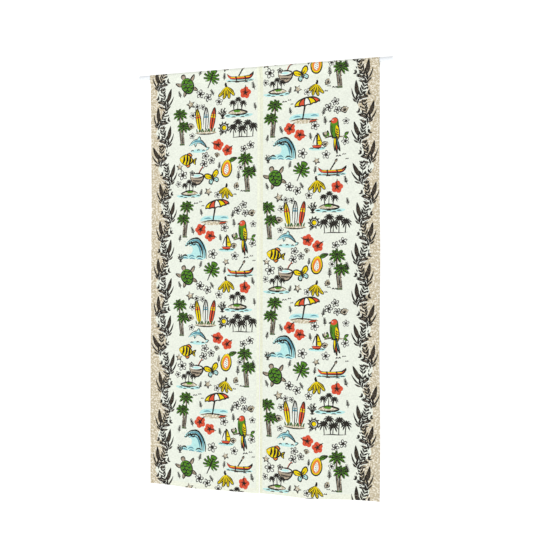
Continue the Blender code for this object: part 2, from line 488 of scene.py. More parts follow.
def turtle(pen):
    """A swimming turtle seen from above."""
    for tip, bend in ((44 + 26j, -9), (-40 + 30j, 9), (30 - 34j, 4), (-30 - 32j, -4)):
        pen.shape(leaf_blade(tip * 0.35, tip, 6.5, bend), "bark", 0.9, 0.6, 6)
        pen.hatch(tip * 0.5, tip * 0.85, 4, 3j * (1 if tip.real > 0 else -1), "line", 0.9)
    pen.shape([20j, 8 + 34j, 6 + 44j, -6 + 44j, -8 + 34j], "bark", 1.0, 0.6, 6)
    pen.dot(4 + 39j, 1.2, "line", 5)
    pen.dot(-4 + 39j, 1.2, "line", 5)
    shell = [30j, 18 + 22j, 25 + 2j, 17 - 20j, -31j, -17 - 20j, -25 + 2j, -18 + 22j]
    pen.shape(shell, "leaf", 1.4, 0.6, 6)
    for k in range(3):
        middle = (16 - 15 * k) * 1j
        scute = [middle + polar(8.5, 60 * s) * (1, 0.9)[s % 2] for s in range(6)]
        pen.outline(scute, "line", 1.2, soft=False, share=1)
        for side in (-1, 1):
            pen.line([middle + side * 8.5, middle + side * 21 - 2j], "line", 1.1, 1, 0.5)
            plate = [middle + side * x - y * 1j for x, y in ((10, 2), (17, 3), (16, 8), (9, 8))]
            pen.fill(plate, "deep_leaf", 5)


def wave(pen):
    """A rolling wave that curls over to the left, with spray."""
    pen.fill([-52 - 20j, -30 - 24j, 0 - 22j, 40 - 26j, 52 - 8j, 46 + 22j, 26 + 44j, -2 + 46j, -22 + 34j,
              -28 + 18j, -14 + 24j, 0 + 14j, -4 - 4j, -30 - 10j], "blue", 6)
    for lift, length in ((0, 1.0), (6, 0.86), (12, 0.72), (19, 0.56)):
        back = 50 - lift
        pen.line([back - 24j + lift * 0.3j, back - 4 + 8j, (24 - lift * 0.4) + (44 - lift) * 1j,
                  (-4 * length) + (44 - lift) * 1j, -22 * length + (30 - lift * 0.6) * 1j],
                 "line" if lift in (0, 12) else "teal", 1.9, 0.4, 0.2, 6)
    for k in range(5):
        crest = (-24 + 7 * k) + (22 + (5, 11, 13, 11, 7)[k]) * 1j
        pen.outline([crest + polar(5.2, a) for a in (200, 260, 320, 20)], "line", 1.0, step=3, share=0.8)
        pen.dot(crest + polar(11, 120 - 15 * k), 1.2, "teal", 5)
    for k, at in enumerate((-40 - 16j, -14 - 18j, 14 - 20j)):
        pen.line([at, at + 7 + 5j, at + 15 + 5j, at + 22], "line" if k % 2 == 0 else "teal", 1.5)
        pen.line([at + 3 - 6j, at + 11 - 3j, at + 24 - 7j], "teal", 1.2)


def sailboat(pen):
    """A small boat under sail."""
    pen.fill([-32 - 8j, 0 - 4j, 34 - 8j, 22 - 17j, -24 - 16j], "blue", 7)
    pen.shape([-20 + 2j, 20 + 2j, 13 - 8j, -14 - 8j], "red", 1.1, 0.6, soft=False)
    pen.line([0 + 2j, 0 + 50j], "line", 1.4, 1, 0.7, 20)
    pen.shape([3 + 6j, 3 + 47j, 14 + 26j, 20 + 6j], "yellow", 1.0, 0.8, 7)
    pen.shape([-3 + 8j, -3 + 42j, -12 + 22j, -16 + 8j], "paper", 1.0, 0.4, 7)
    pen.line([3 + 20j, 15 + 19j], "line", 0.8)
    for at in (-30 - 10j, -6 - 12j, 14 - 11j):
        pen.line([at, at + 5 + 3j, at + 11 + 1j, at + 17 + 3j], "line", 1.1)


def beach_umbrella(pen):
    """A striped umbrella set in the sand, with the sea behind."""
    pen.fill([-56 - 30j, -20 - 26j, 20 - 27j, 54 - 24j, 50 - 14j, 10 - 12j, -40 - 14j], "blue", 8)
    pen.fill([-50 - 34j, -20 - 28j, 14 - 30j, 50 - 34j, 30 - 44j, -26 - 45j], "sand", 8)
    pen.line([-52 - 35j, -20 - 29j, 14 - 31j, 50 - 36j], "line", 1.1)
    hub = 6 + 44j
    tilt = polar(1, 10)
    pen.line([hub, hub + 78 * polar(1, -100)], "line", 2.0, 1, 0.8, 20)
    quarter = np.linspace(0.0, np.pi / 2, 6)
    ribs = []
    for x in (-46, -31, -11, 11, 31, 46):
        drop = 22 + 6 * math.cos(x / 34)
        ribs.append(hub + tilt * (x * np.sin(quarter) - 1j * drop * (1 - np.cos(quarter))))
    for ink, left, right in zip(("yellow", "red", "paper", "yellow", "red"), ribs, ribs[1:]):
        edge = (left[-1] + right[-1]) / 2 + 3j
        pen.mark(np.concatenate([left, [edge], right[::-1]]), ink)
        pen.line([left[-1], edge, right[-1]], "line", 1.1, 1, 1, 6)
    for rib in ribs:
        pen.line(rib, "line", 1.1, 1, 0.8, 8)
    pen.line([-40 - 22j, -24 - 20j, -12 - 23j], "teal", 1.2)
    pen.line([22 - 20j, 36 - 18j, 48 - 21j], "teal", 1.2)
    pen.shape([20 - 36j, 44 - 33j, 40 - 40j, 16 - 42j], "red", 0.9, 0.4, soft=False)


def islet(pen):
    """A sandy islet with a few small palms."""
    pen.fill([-52 - 10j, -20 - 6j, 24 - 7j, 56 - 11j, 36 - 20j, -8 - 18j, -40 - 19j], "blue", 8)
    pen.shape([-38 - 4j, -24 + 5j, -4 + 8j, 14 + 5j, 34 - 3j, 20 - 9j, -16 - 10j], "sand", 1.9, 0.6, 7)
    pen.fill([-20 + 3j, -6 + 7j, 10 + 4j, 4 - 2j, -12 - 1j], "leaf", 7)
    for root, height, lean in ((-16, 28, -5), (-2, 38, 2), (12, 25, 7)):
        small_palm(pen, root + 4j, height, lean, 14)
    pen.hatch(-34 - 6j, 28 - 7j, 12, -3j, "line", 0.8)
    for at in (-48 - 14j, -10 - 14j, 26 - 15j, -26 - 19j, 8 - 20j):
        pen.line([at, at + 8 + 1.6j, at + 17], "line", 0.9)


def gulls(pen):
    """Three gulls in the distance."""
    for at, span in ((-14 + 6j, 9), (6 + 12j, 7), (16 - 4j, 6)):
        pen.line([at - span - 1j, at - span * 0.5 + span * 0.4j, at], "line", 1.1)
        pen.line([at, at + span * 0.5 + span * 0.45j, at + span + 0j], "line", 1.1)


def surfboards(pen):
    """Three boards standing in the sand."""
    pen.fill([-40 - 4j, -16 + 4j, 20 + 3j, 44 - 5j, 16 - 10j, -20 - 9j], "sand", 8)
    boards = ((-22, -9, "yellow", "red"), (0, 2, "paper", "teal"), (21, 10, "red", "yellow"))
    for foot, degrees, ink, band in boards:
        spin = polar(1, -degrees)
        half = np.array([0, 7 + 12j, 9.5 + 40j, 8 + 66j, 3 + 86j, 90j])
        board = np.concatenate([half, -half[-2:0:-1].conj()])
        pen.shape(foot + board * spin, ink, 1.2, 0.8, 10)
        for low, high in ((52, 58), (61, 64)):
            stripe = np.array([-8.6 + low * 1j, 8.6 + low * 1j, 8.4 + high * 1j, -8.4 + high * 1j])
            pen.mark(foot + spin * stripe, band)
        pen.line([foot + spin * 8j, foot + spin * 84j], "line", 0.9, 1, 0.4, 20)
    for k in range(9):
        root = -34 + 8.5 * k
        lean = (-1.8, 1.2, 2.4)[k % 3]
        pen.line([root - 2j, root + lean + 6j, root + 2 * lean + 12j], "deep_leaf", 1.5, 1, 0.1)
    pen.line([-42 - 5j, -20 - 9j, 18 - 10j, 44 - 6j], "line", 1.1)


def starfish(pen, radius=19):
    """A five-armed starfish."""
    star = []
    for k in range(10):
        star.append(polar(radius if k % 2 == 0 else radius * 0.42, 90 + 36 * k))
    pen.shape(star, "sand", 1.2, 0.8, 6)
    for k in range(5):
        for share in (0.2, 0.42, 0.64):
            pen.dot(polar(radius * share, 90 + 72 * k), 0.9, "line", 5)


def scallop(pen, radius=19):
    """A fan shell."""
    fan = np.linspace(-62, 62, 9)
    rim = radius * (1 + 0.07 * np.cos(np.radians(fan * 2 * 180 / 31))) * np.exp(1j * np.radians(90 + fan))
    shell = np.concatenate([rim, [-5 - 3j, 5 - 3j]])
    pen.shape(shell, "sand", 1.1, 0.8, 5)
    for degrees in (-48, -32, -16, 0, 16, 32, 48):
        pen.line([-1j, polar(radius * 0.9, 90 + degrees)], "line", 0.1, 0.6, 0.3, 8)
    pen.line([-7 - 4j, 0 - 6j, 7 - 4j], "line", 1.4)


def reef_fish(pen):
    """A striped reef fish."""
    pen.shape([24 + 2j, 40 + 13j, 36 + 1j, 40 - 12j, 24 - 3j], "yellow", 1.0, 0.6, 7)
    pen.shape([-6 + 18j, 8 + 28j, 20 + 20j, 16 + 12j], "orange", 0.9, 0.6, 7)
    pen.shape([-2 - 18j, 10 - 27j, 18 - 18j, 14 - 11j], "orange", 0.9, 0.6, 7)
    body = [-30, -20 + 13j, -2 + 21j, 16 + 14j, 26 + 1j, 16 - 13j, -2 - 20j, -20 - 12j]
    pen.shape(body, "yellow", 1.2, 0.8, 6)
    for x, half in ((-13, 15), (0, 19), (12, 15)):
        pen.line([x + half * 1j, x + 3.5, x - half * 1j], "line", 3.4, 0.4, 0.3, 8)
    pen.dot(-20 + 4j, 2.3, "paper")
    pen.dot(-20 + 4j, 1.2, "line", 5)
    pen.line([-29 - 2j, -24 - 4j], "line", 1.1)
    pen.hatch(27 + 6j, 27 - 6j, 4, 8, "line", 0.7)


def dolphin(pen):
    """A leaping dolphin over splashes."""
    pen.fill([-34 - 26j, 0 - 20j, 36 - 27j, 18 - 34j, -20 - 33j], "blue", 8)
    body = [-40 - 6j, -33 + 1j, -24 + 12j, -4 + 20j, 16 + 14j, 30 - 2j, 38 - 16j, 28 - 8j, 10 + 3j, -8 + 4j,
            -24 - 2j, -32 - 5j]
    pen.shape(body, "blue", 1.1, 0.6, 6)
    pen.line([-30 + 2j, -8 + 12j, 14 + 8j, 30 - 6j], "teal", 2.6, 0.2, 0.1, 6)
    pen.shape([-2 + 18j, 6 + 30j, 12 + 16j], "blue", 1.0, 0.3, 7)
    pen.shape([-14 + 3j, -12 - 10j, -4 + 3j], "blue", 1.0, 0.3, 7)
    pen.shape([36 - 14j, 48 - 16j, 42 - 24j, 34 - 26j, 36 - 20j], "blue", 1.0, 0.3, 7)
    pen.dot(-27 + 3j, 1.1, "line", 5)
    for at in (-30 - 28j, -4 - 26j, 18 - 28j):
        pen.line([at, at + 6 + 4j, at + 13], "line", 1.2)


def butterfly(pen):
    """A butterfly with its wings spread, the upper pair yellow and the lower pair blue."""
    upper = np.array([2 + 2j, 10 + 20j, 26 + 24j, 27 + 10j, 14 + 1j])
    lower = np.array([2 + 0j, 14 - 2j, 20 - 12j, 12 - 20j, 4 - 10j])
    for side in (-1, 1):
        for wing, ink in ((upper, "yellow"), (lower, "blue")):
            pts = wing if side > 0 else -wing.conj()
            pen.shape(pts, ink, 1.3, 0.6, 5)
            middle = pts.mean()
            pen.line([pts[0], middle], "line", 0.9)
            pen.dot(middle * 1.25, 1.7, "line", 6)
    pen.line([-14j, 0, 9j], "line", 2.6, 0.5, 0.6)
    pen.line([8j, -3 + 14j, -7 + 18j], "line", 0.7)
    pen.line([8j, 3 + 14j, 7 + 18j], "line", 0.7)


def sun(pen, radius=11):
    """A sun in line, long and short rays by turns."""
    pen.dot(0.8 - 0.8j, radius * 0.8, "yellow", 14)
    pen.outline([polar(radius * 0.82, 30 * k) for k in range(12)], "line", 1.1, step=3)
    for k in range(20):
        reach = radius * (2.3 if k % 2 == 0 else 1.7)
        degrees = 18 * k
        root = polar(radius * 1.12, degrees)
        tip = polar(reach, degrees - 2)
        pen.line([root, polar(radius * 1.5, degrees + 5), tip], "line", 1.5, 0.7, 0.1)


def canoe(pen):
    """An outrigger canoe on the water."""
    pen.fill([-54 - 10j, -10 - 7j, 50 - 11j, 30 - 19j, -34 - 18j], "blue", 8)
    hull = [-50 + 12j, -36 + 2j, 0 - 1j, 36 + 2j, 50 + 13j, 38 - 6j, 0 - 9j, -38 - 6j]
    pen.shape(hull, "red", 1.2, 0.6, 8)
    pen.mark([-36 + 0j, 36 + 0j, 34 - 2.6j, -34 - 2.6j], "yellow")
    pen.line([-34 - 13j, 0 - 15j, 34 - 12j], "bark", 3.0, 0.6, 0.5)
    pen.line([-35 - 15j, 0 - 17j, 35 - 14j], "line", 0.9)
    for x in (-18, 16):
        pen.line([x + 2j, x + 3 - 6j, x + 2 - 14j], "line", 1.3, 1, 0.8)
    pen.line([-6 + 1j, 4 + 16j, 12 + 28j], "line", 1.3, 1, 1)
    pen.shape(leaf_blade(11 + 26j, 18 + 38j, 3.4), "bark", 0.9, 0.4, 6)
    for at in (-50 - 16j, -20 - 20j, 14 - 21j, 32 - 16j):
        pen.line([at, at + 6 + 2j, at + 15], "line", 1.0)


def coconut(pen):
    """A halved coconut with a straw and a flower."""
    pen.line([4 + 8j, 14 + 26j, 22 + 34j], "red", 2.6, 1, 1)
    pen.line([6 + 8j, 15.5 + 25j, 23.5 + 33j], "line", 0.8)
    pen.shape([-24 + 4j, -21 - 12j, -8 - 25j, 8 - 25j, 21 - 12j, 24 + 4j, 0 + 1j], "bark", 1.3, 0.8, 7)
    pen.shape([-24 + 4j, -12 + 11j, 12 + 11j, 24 + 4j, 12 - 3j, -12 - 3j], "paper", 1.2, 0.3, 6)
    pen.fill([-15 + 4j, 0 + 8j, 15 + 4j, 0 + 0j], "blue", 6)
    pen.hatch(-17 - 9j, 16 - 12j, 9, 2 - 7j, "line", 0.8)
    frangipani(pen, -18 + 13j, 9, 15)


def fern(pen, height=34):
    """A small sprig to fill a gap."""
    pen.line([0, 2 + height * 0.5j, -1 + height * 1j], "line", 1.0)
    for k in range(5):
        foot = 1.5 + height * (0.22 + 0.16 * k) * 1j
        reach = 9 - 1.1 * k
        for side in (-1, 1):
            pen.fill(leaf_blade(foot, foot + side * reach + reach * 0.75j, 1.7, side), "line", 9)


def coral(pen, height=40):
    """A branching coral, all in the dark line."""
    for degrees, length, forks in ((58, 0.8, 2), (78, 1.0, 3), (100, 0.92, 3), (124, 0.78, 2)):
        tip = polar(height * length, degrees)
        pen.line([0, tip * 0.5 + 1, tip], "line", 1.1, 1, 0.6, 9)
        for k in range(forks):
            foot = tip * (0.42 + 0.2 * k)
            turn = 38 if k % 2 else -38
            pen.line([foot, foot + polar(height * (0.3 - 0.04 * k), degrees + turn)], "line", 0.6, 1, 0.6, 9)
    pen.line([-9 - 1j, 0 - 2.5j, 10 - 1j], "line", 1.4)


def grove(pen):
    """A stand of dark palms close together."""
    for root, height, lean in ((-36, 33, -3), (-14, 50, -6), (-6, 28, 2), (14, 46, 3), (36, 34, 4)):
        small_palm(pen, root + 0j, height, lean, 19)
    pen.line([-40 - 1j, -12 + 0.6j, 14 - 0.5j, 42], "line", 0.6)


def veined_leaf(pen, root, tip, breadth, bend, heart="heartwood", veins=4):
    """A long leaf of the border: dark edges, a paler heart, and its rib and slanting veins in dark line."""
    run = (tip - root) / abs(tip - root)
    pen.fill(leaf_blade(root, tip, breadth, bend), "line", 9)
    inner = leaf_blade(root + 0.12 * (tip - root), root + 0.8 * (tip - root), breadth * 0.56, bend * 0.7)
    pen.fill(inner, heart, 12)
    middle = (root + tip) / 2 + 0.25j * run * bend
    pen.line([root, middle, root + 0.86 * (tip - root)], "line", 0.2, 1, 0.4, 20)
    for k in range(veins):
        foot = root + (tip - root) * (0.15 + 0.65 * k / veins) + 0.25j * run * bend
        for side in (-1, 1):
            pen.line([foot, foot + (0.9 + 0.55j * side) * breadth * run], "line", 0.0, 1, 0.5, 99)


def leafy_shoot(pen, root, top, bend, pairs, reach, breadth):
    """A slender stem with leaves in pairs that grow shorter towards its top."""
    stem = smooth([root, (root + top) / 2 + bend, top], False, abs(top - root) / pairs)
    pen.line(stem, "line", 0.1, 0.8, 0.4, 99)
    for k, foot in enumerate(stem):
        run = stem[min(k + 1, len(stem) - 1)] - stem[max(k - 1, 0)]
        run = run / abs(run) * reach * (1 - 0.3 * k / len(stem))
        for degrees in (38, -40):
            tip = foot + run * polar(pen.hand.uniform(0.85, 1.1), degrees + pen.hand.uniform(-8, 8))
            pen.fill(leaf_blade(foot, tip, breadth * pen.hand.uniform(0.85, 1.15), 0.12 * reach), "line", 12)
    pen.fill(leaf_blade(top, top + 0.7 * run, 0.8 * breadth, 1), "line", 12)


def spray(pen, seed):
    """One spray of the border: a tall leaf on a forked foot, a curved blade, shoots and low leaves."""
    hand = random.Random(seed)
    sway = hand.uniform(-5, 5)
    # The shoots behind.
    leafy_shoot(pen, -4 + 28j, -18 + sway + 72j, -3 - 1j, 3, 24, 3.3)
    leafy_shoot(pen, -8 + 14j, -33 + 0.5 * sway + 37j, 0 + 3j, 2, 19, 3.2)
    # The tall leaf, then the curved blade beside it.
    veined_leaf(pen, 2 + 24j, 16 + sway + 84j, 8.2, -4)
    pen.fill(leaf_blade(5 + 8j, 29 + 0.6 * sway + 55j, 3.2, -15), "line", 7)
    # The forked foot and its low leaves, with the cloth left bare in a curve between them.
    pen.fill([-6j, 4 + 4j, 10 + 20j, 5 + 31j, 1 + 20j, -4 + 30j, -8 + 19j, -3 + 3j], "line", 8)
    pen.line([-4 + 20j, 1 + 14j, 3 + 5j], "paper", 1.8, 0.8, 0.5, 9)
    veined_leaf(pen, -4 + 22j, -38 + sway + 27j, 5.2, 5, "bark", 3)
    pen.line([-37 + 18j, -21 + 17j, -6 + 8j], "paper", 3.0, 0.5, 0.5, 7)
    veined_leaf(pen, -4 + 3j, -29 + 9j + sway, 4.4, 4, "bark", 2)
    veined_leaf(pen, 5 + 3j, 22 + 17j + sway, 3.8, -4, "bark", 2)
    # A few loose leaves over the low ones.
    for k in range(3):
        at = hand.uniform(-38, -33) + 4 * k + (40 + 11 * k) * 1j
        pen.fill(leaf_blade(at, at + polar(hand.uniform(9, 14), 128 - 14 * k), 2.2), "line", 9)


# The field's repeat, its width and where it starts beside the slit, in millimetres.
REPEAT = 690.0
FIELD = 318.0
FIELD_START = 8.0

# The border's band, in millimetres: its mean width, how it swells and ripples, and where it is widest.
BAND_WIDTH = 47.0
BAND_WAVE = 18.0
BAND_RIPPLE = 4.0
BAND_RIPPLE_LENGTH = 61.0
BAND_BELOW_SPRAY = 10.0

# The steps of the band's outline, and how far it runs past the cloth's ends and edge.
BAND_STEP = 12.0
BAND_PAST_ENDS = 60.0
BAND_PAST_EDGE = 5.0

# The border's sprays: their spacing, and how far in from the edge they stand by turns.
SPRAYS_A_REPEAT = 10
SPRAY_STEP = REPEAT / SPRAYS_A_REPEAT
OUTER_SPRAY = 38.0
INNER_SPRAY = 69.0

# How high the left panel's first spray is, counted from the hem, and how much lower the right panel's.
FIRST_SPRAY_UP = -80.0
SPRAY_OFFSET = 20.0

# The sprays' size and the most degrees that they lean, and how the whole border drifts in and out.
SPRAY_SIZE = 0.93
SPRAY_TURN = 11.0
BORDER_DRIFT = 9.0
BORDER_DRIFT_PHASE = 1.3

# One repeat of the print: motif, place in millimetres from the field's lower left corner, turn, size, flip.
LAYOUT = [
    (palm, 35, 556, 0, 1.0, False),
    (beach_umbrella, 154, 645, 0, 1.0, False),
    (frangipani_three, 256, 654, 0, 1.0, False),
    (gulls, 94, 672, 0, 0.9, False),
    (scallop, 297, 634, 14, 0.85, False),
    (hibiscus, 100, 584, 20, 1.0, False),
    (hibiscus, 136, 561, -40, 0.95, False),
    (fern, 73, 566, 20, 0.9, False),
    (parrot, 260, 572, 0, 1.0, False),
    (frangipani, 191, 590, 0, 0.8, False),
    (sailboat, 199, 520, 0, 0.9, False),
    (wave, 69, 504, 0, 1.05, False),
    (frangipani, 146, 496, 0, 0.9, False),
    (monstera, 141, 434, -24, 0.85, False),
    (gulls, 289, 474, 0, 1.0, False),
    (starfish, 197, 468, 24, 0.7, False),
    (turtle, 48, 414, 24, 0.95, False),
    (fern, 96, 446, -14, 0.8, False),
    (canoe, 252, 434, 0, 1.0, False),
    (bananas, 197, 402, 10, 0.85, False),
    (frangipani_pair, 112, 376, 0, 1.0, False),
    (hibiscus, 270, 376, 60, 1.0, False),
    (fern, 306, 384, 16, 0.9, True),
    (starfish, 60, 346, 15, 0.9, False),
    (frangipani, 170, 350, 20, 0.7, False),
    (palm, 29, 200, 0, 1.0, True),
    (surfboards, 118, 246, 0, 0.95, False),
    (islet, 243, 310, 0, 1.0, False),
    (grove, 262, 220, 0, 1.0, False),
    (sun, 189, 256, 0, 0.95, False),
    (scallop, 60, 262, -20, 0.8, False),
    (dolphin, 89, 202, 0, 0.9, False),
    (hibiscus, 166, 196, 130, 1.0, False),
    (hibiscus, 202, 175, 10, 0.95, False),
    (frangipani_pair, 278, 184, 0, 0.9, True),
    (frangipani_three, 121, 142, 40, 1.0, False),
    (reef_fish, 44, 146, -10, 0.95, False),
    (palm, 281, 24, 0, 1.05, True),
    (papaya, 199, 112, -8, 1.0, False),
    (coconut, 85, 84, 0, 1.05, False),
    (butterfly, 146, 78, 20, 0.95, False),
    (frangipani, 29, 92, 30, 0.9, False),
    (islet, 54, 28, 0, 0.9, True),
    (starfish, 129, 30, -30, 0.8, False),
    (fern, 243, 66, 0, 1.0, False),
    (bananas, 197, 44, -14, 0.8, True),
    (gulls, 247, 20, 0, 1.0, True),
    (fern, 306, 90, 10, 0.9, False),
    (scallop, 241, 46, 60, 0.7, False),
    (frangipani, 231, 488, 12, 0.75, False),
    (coral, 183, 292, 0, 0.9, False),
    (coral, 21, 470, 0, 0.7, True),
    (frangipani, 69, 306, 50, 0.65, False),
    (fern, 189, 424, -8, 0.8, False),
    (fern, 168, 108, -6, 0.8, False),
    (frangipani, 301, 600, 20, 0.6, False),
    (fern, 179, 540, 10, 0.8, True),
    (frangipani, 12, 60, 40, 0.6, False),
    (fern, 218, 622, -12, 0.9, False),
    (fern, 21, 372, 20, 0.8, False),
    (fern, 173, 226, -30, 0.7, True),
    (frangipani, 252, 112, 25, 0.6, False),
    (fern, 308, 312, 10, 0.8, False),
    (frangipani, 299, 532, 40, 0.7, False),
    (fern, 17, 540, -10, 0.8, True),
    (starfish, 229, 560, 10, 0.55, False),
    (fern, 104, 632, 12, 0.8, False),
    (scallop, 162, 156, -14, 0.6, False),
    (fern, 96, 14, -16, 0.8, False),
    (frangipani_pair, 96, 336, 20, 0.7, False),
    (frangipani, 66, 232, 10, 0.6, False),
    (starfish, 16, 122, 0, 0.7, False),
    (fern, 150, 372, 30, 0.8, False),
    (frangipani, 164, 18, 0, 0.65, False),
    (scallop, 228, 520, 0, 0.7, False),
    (fern, 228, 590, 6, 0.9, False),
]


# How the flat cloth hangs

def pocket_profile():
    """How the outer face runs from the pocket's seam over the rod and down the back: lengths, y and z."""
    seam_distance = math.hypot(FACE_Y, SEAM_Z)
    leaves = math.atan2(FACE_Y, -SEAM_Z) + math.acos(FOLD_RADIUS / seam_distance)
    half_arc = math.pi - leaves
    straight = math.sqrt(seam_distance ** 2 - FOLD_RADIUS ** 2)
    angles = np.linspace(-half_arc, half_arc, BEND_POINTS)
    arc_ends = straight + 2 * half_arc * FOLD_RADIUS
    lengths = np.concatenate([
        [0.0],
        straight + (angles + half_arc) * FOLD_RADIUS,
        [arc_ends + straight, arc_ends + straight + POCKET_TAIL],
    ])
    y = np.concatenate([[-FACE_Y], FOLD_RADIUS * np.sin(angles), [FACE_Y, FACE_Y]])
    z = np.concatenate([[SEAM_Z], FOLD_RADIUS * np.cos(angles), [SEAM_Z, SEAM_Z - POCKET_TAIL]])
    return lengths, y, z


POCKET_LENGTHS, POCKET_Y, POCKET_Z = pocket_profile()
POCKET_STRAIGHT = POCKET_LENGTHS[1]
POCKET_ROUND = POCKET_LENGTHS[-3]
POCKET_WHOLE = POCKET_LENGTHS[-1]
FLAT_LENGTH = HANGING_LENGTH + POCKET_WHOLE


def wander(x, lengths, phase):
    """An uneven wave between 0 and 1, from three sine waves of these lengths."""
    total = 0.0
    for k, length in enumerate(lengths):
        total = total + np.sin(math.tau * x / length + phase * (k + 1.7)) / (k + 1)
    return 0.5 + 0.5 * total / sum(1 / (k + 1) for k in range(len(lengths)))


def forward_depth(panel, out, drop):
    """How far the printed face stands in front of the seam's plane."""
    fall = np.clip((drop - POCKET_TAIL) / (HANGING_LENGTH - POCKET_TAIL), 0.0, 1.0)
    share = out / HALF_WIDTH
    billow = BILLOW * fall ** BILLOW_GROWTH * (1 - share ** 2)
    ripple_angle = math.tau * out / panel["ripple_length"] + panel["ripple_phase"]
    ripple = panel["ripple"] * fall ** RIPPLE_GROWTH * np.sin(ripple_angle)
    sway_angle = math.tau * drop / panel["sway_length"] + panel["sway_phase"]
    sway = panel["sway"] * np.minimum(1.0, 4 * fall) * share ** 4 * np.sin(sway_angle)
    set_back = 0.0
    if panel["side"] > 0:
        set_back = SLIT_SET_BACK * fall * np.exp(-(out / SLIT_SET_BACK_REACH) ** 2)
    return billow + ripple + sway - set_back


def gathers(panel, out, drop):
    """The small gathers along the sewn lines, forwards only, so that the layers stay apart."""
    below = np.maximum(drop - POCKET_TAIL, 0.0)
    phase = GATHER_PHASE + panel["side"]
    seam = SEAM_GATHER * wander(out, SEAM_GATHER_WAVES, phase)
    seam = seam * np.exp(-below / SEAM_GATHER_REACH) * (1 - np.exp(-below / SEAM_GATHER_ONSET))
    edge = np.minimum(out, HALF_WIDTH - out)
    hem = HEM_GATHER * wander(drop, HEM_GATHER_WAVES, phase + out / HEM_GATHER_SHIFT)
    hem = hem * np.exp(-np.maximum(edge, 0.0) / HEM_GATHER_REACH) * (1 - np.exp(-below / HEM_GATHER_ONSET))
    return seam + hem


def hang(panel, out, up):
    """Where points of the printed face hang, by how far they lie from the middle line and above the hem."""
    drop = HANGING_LENGTH - up
    fall = np.clip(drop / HANGING_LENGTH, 0.0, 1.0)
    share = out / HALF_WIDTH
    spread = SLIT_SPREAD * fall * (1 - share)
    depth = forward_depth(panel, out, drop) + gathers(panel, out, drop)
    from_dip = (out - panel["dip_place"]) / panel["dip_reach"]
    dip = panel["dip"] * fall ** 2 * np.exp(-from_dip ** 2)
    lift = panel["corner_lift"] * fall ** 2 * share ** 3
    # Above the seam the cloth follows the pocket, which fills out a little between seam and rod.
    over = np.maximum(-drop, 0.0)
    from_seam = np.minimum(over, POCKET_WHOLE - POCKET_TAIL - over)
    ease = np.sin(math.pi * np.clip(from_seam / POCKET_STRAIGHT, 0.0, 1.0)) ** 2
    ease = POCKET_GATHER * ease * wander(out, POCKET_GATHER_WAVES, POCKET_GATHER_PHASE + panel["side"])
    front = np.where(over < POCKET_WHOLE / 2, -1.0, 1.0)
    pocket_y = np.interp(over, POCKET_LENGTHS, POCKET_Y) + front * ease
    pocket_z = np.interp(over, POCKET_LENGTHS, POCKET_Z)
    hanging = drop >= 0
    x = panel["side"] * (out + spread)
    y = np.where(hanging, -FACE_Y - depth, pocket_y)
    z = np.where(hanging, SEAM_Z - drop - dip + lift, pocket_z)
    return np.stack([x, y, z], axis=-1)


def outward(panel, out, up, step=0.0005):
    """The direction straight out of the cloth, at points of the printed face."""
    across = hang(panel, out + step, up) - hang(panel, out - step, up)
    along = hang(panel, out, np.minimum(up + step, FLAT_LENGTH)) - hang(panel, out, up - step)
    normal = panel["side"] * np.cross(across, along)
    return normal / np.linalg.norm(normal, axis=-1, keepdims=True)


def thickness(out, up):
    """The cloth's thickness, more over its turned edges. The side hems end below the pocket."""
    side_hem = [SIDE_HEM, SIDE_HEM + HEM_STEP]
    below_pocket = [POCKET_TAIL + SIDE_HEM_BEGINS, POCKET_TAIL + SIDE_HEM_WHOLE]
    from_slit = np.interp(out - SLIT_AT_ROD / 2, side_hem, [1.0, 0.0])
    from_edge = np.interp(HALF_WIDTH - out, side_hem, [1.0, 0.0])
    from_pocket = np.interp(HANGING_LENGTH - up, below_pocket, [0.0, 1.0])
    at_bottom = np.interp(up, [BOTTOM_HEM, BOTTOM_HEM + HEM_STEP], [1.0, 0.0])
    turned = np.maximum(np.maximum(from_slit, from_edge) * from_pocket, at_bottom)
    return CLOTH + (TURNED_CLOTH - CLOTH) * turned


# The colours of the mesh

# The bare margin along the slit.
SLIT_MARGIN = SIDE_HEM + SLIT_AT_ROD / 2

# Marks larger than this many square millimetres show through on the back, by this share.
SHOWS_THROUGH_AREA = 40.0
SHOWS_THROUGH = 0.22

# The map for baking: where the printed face, the thin edge's strips and the back lie, as shares of the map.
BAKED_FACE_START = 0.002
BAKED_FACE_WIDTH = 0.653
BAKED_EDGE_START = 0.658
BAKED_STRIP_STEP = 0.004
BAKED_STRIP_WIDTH = 0.002
BAKED_BACK_START = 0.676
BAKED_BACK_WIDTH = 0.322
BAKED_LOWEST = 0.001
BAKED_HEIGHT = 0.998


def linear(colour):
    """A colour as the eye reads it, from 0 to 255, as light."""
    share = np.array(colour) / 255
    return np.where(share <= 0.04045, share / 12.92, ((share + 0.055) / 1.055) ** 2.4)


def opaque(colour):
    """A colour as the eye reads it, as a shader takes it."""
    return (*linear(colour), 1.0)


def ring_area(ring):
    """The area inside an outline."""
    return 0.5 * abs((ring.conj() * np.roll(ring, -1)).imag.sum())


def last_covers(middles, marks):
    """For each place on the flat cloth, the number of the last mark that covers it, or -1 for bare cloth.

    A mark covers what its outline goes right round, also where the outline crosses itself.
    """
    middles = middles[:, 0] + 1j * middles[:, 1]
    covers = np.full(len(middles), -1)
    order = np.argsort(middles.imag)
    heights = middles.imag[order]
    for number, (ink, ring) in enumerate(marks):
        first, last = np.searchsorted(heights, (ring.imag.min(), ring.imag.max()))
        near = order[first:last]
        near = near[(middles.real[near] > ring.real.min()) & (middles.real[near] < ring.real.max())]
        spokes = ring - middles[near][:, None]
        turned = np.angle(np.roll(spokes, -1, axis=1) / spokes).sum(axis=1)
        covers[near[abs(turned) > math.pi]] = number
    return covers


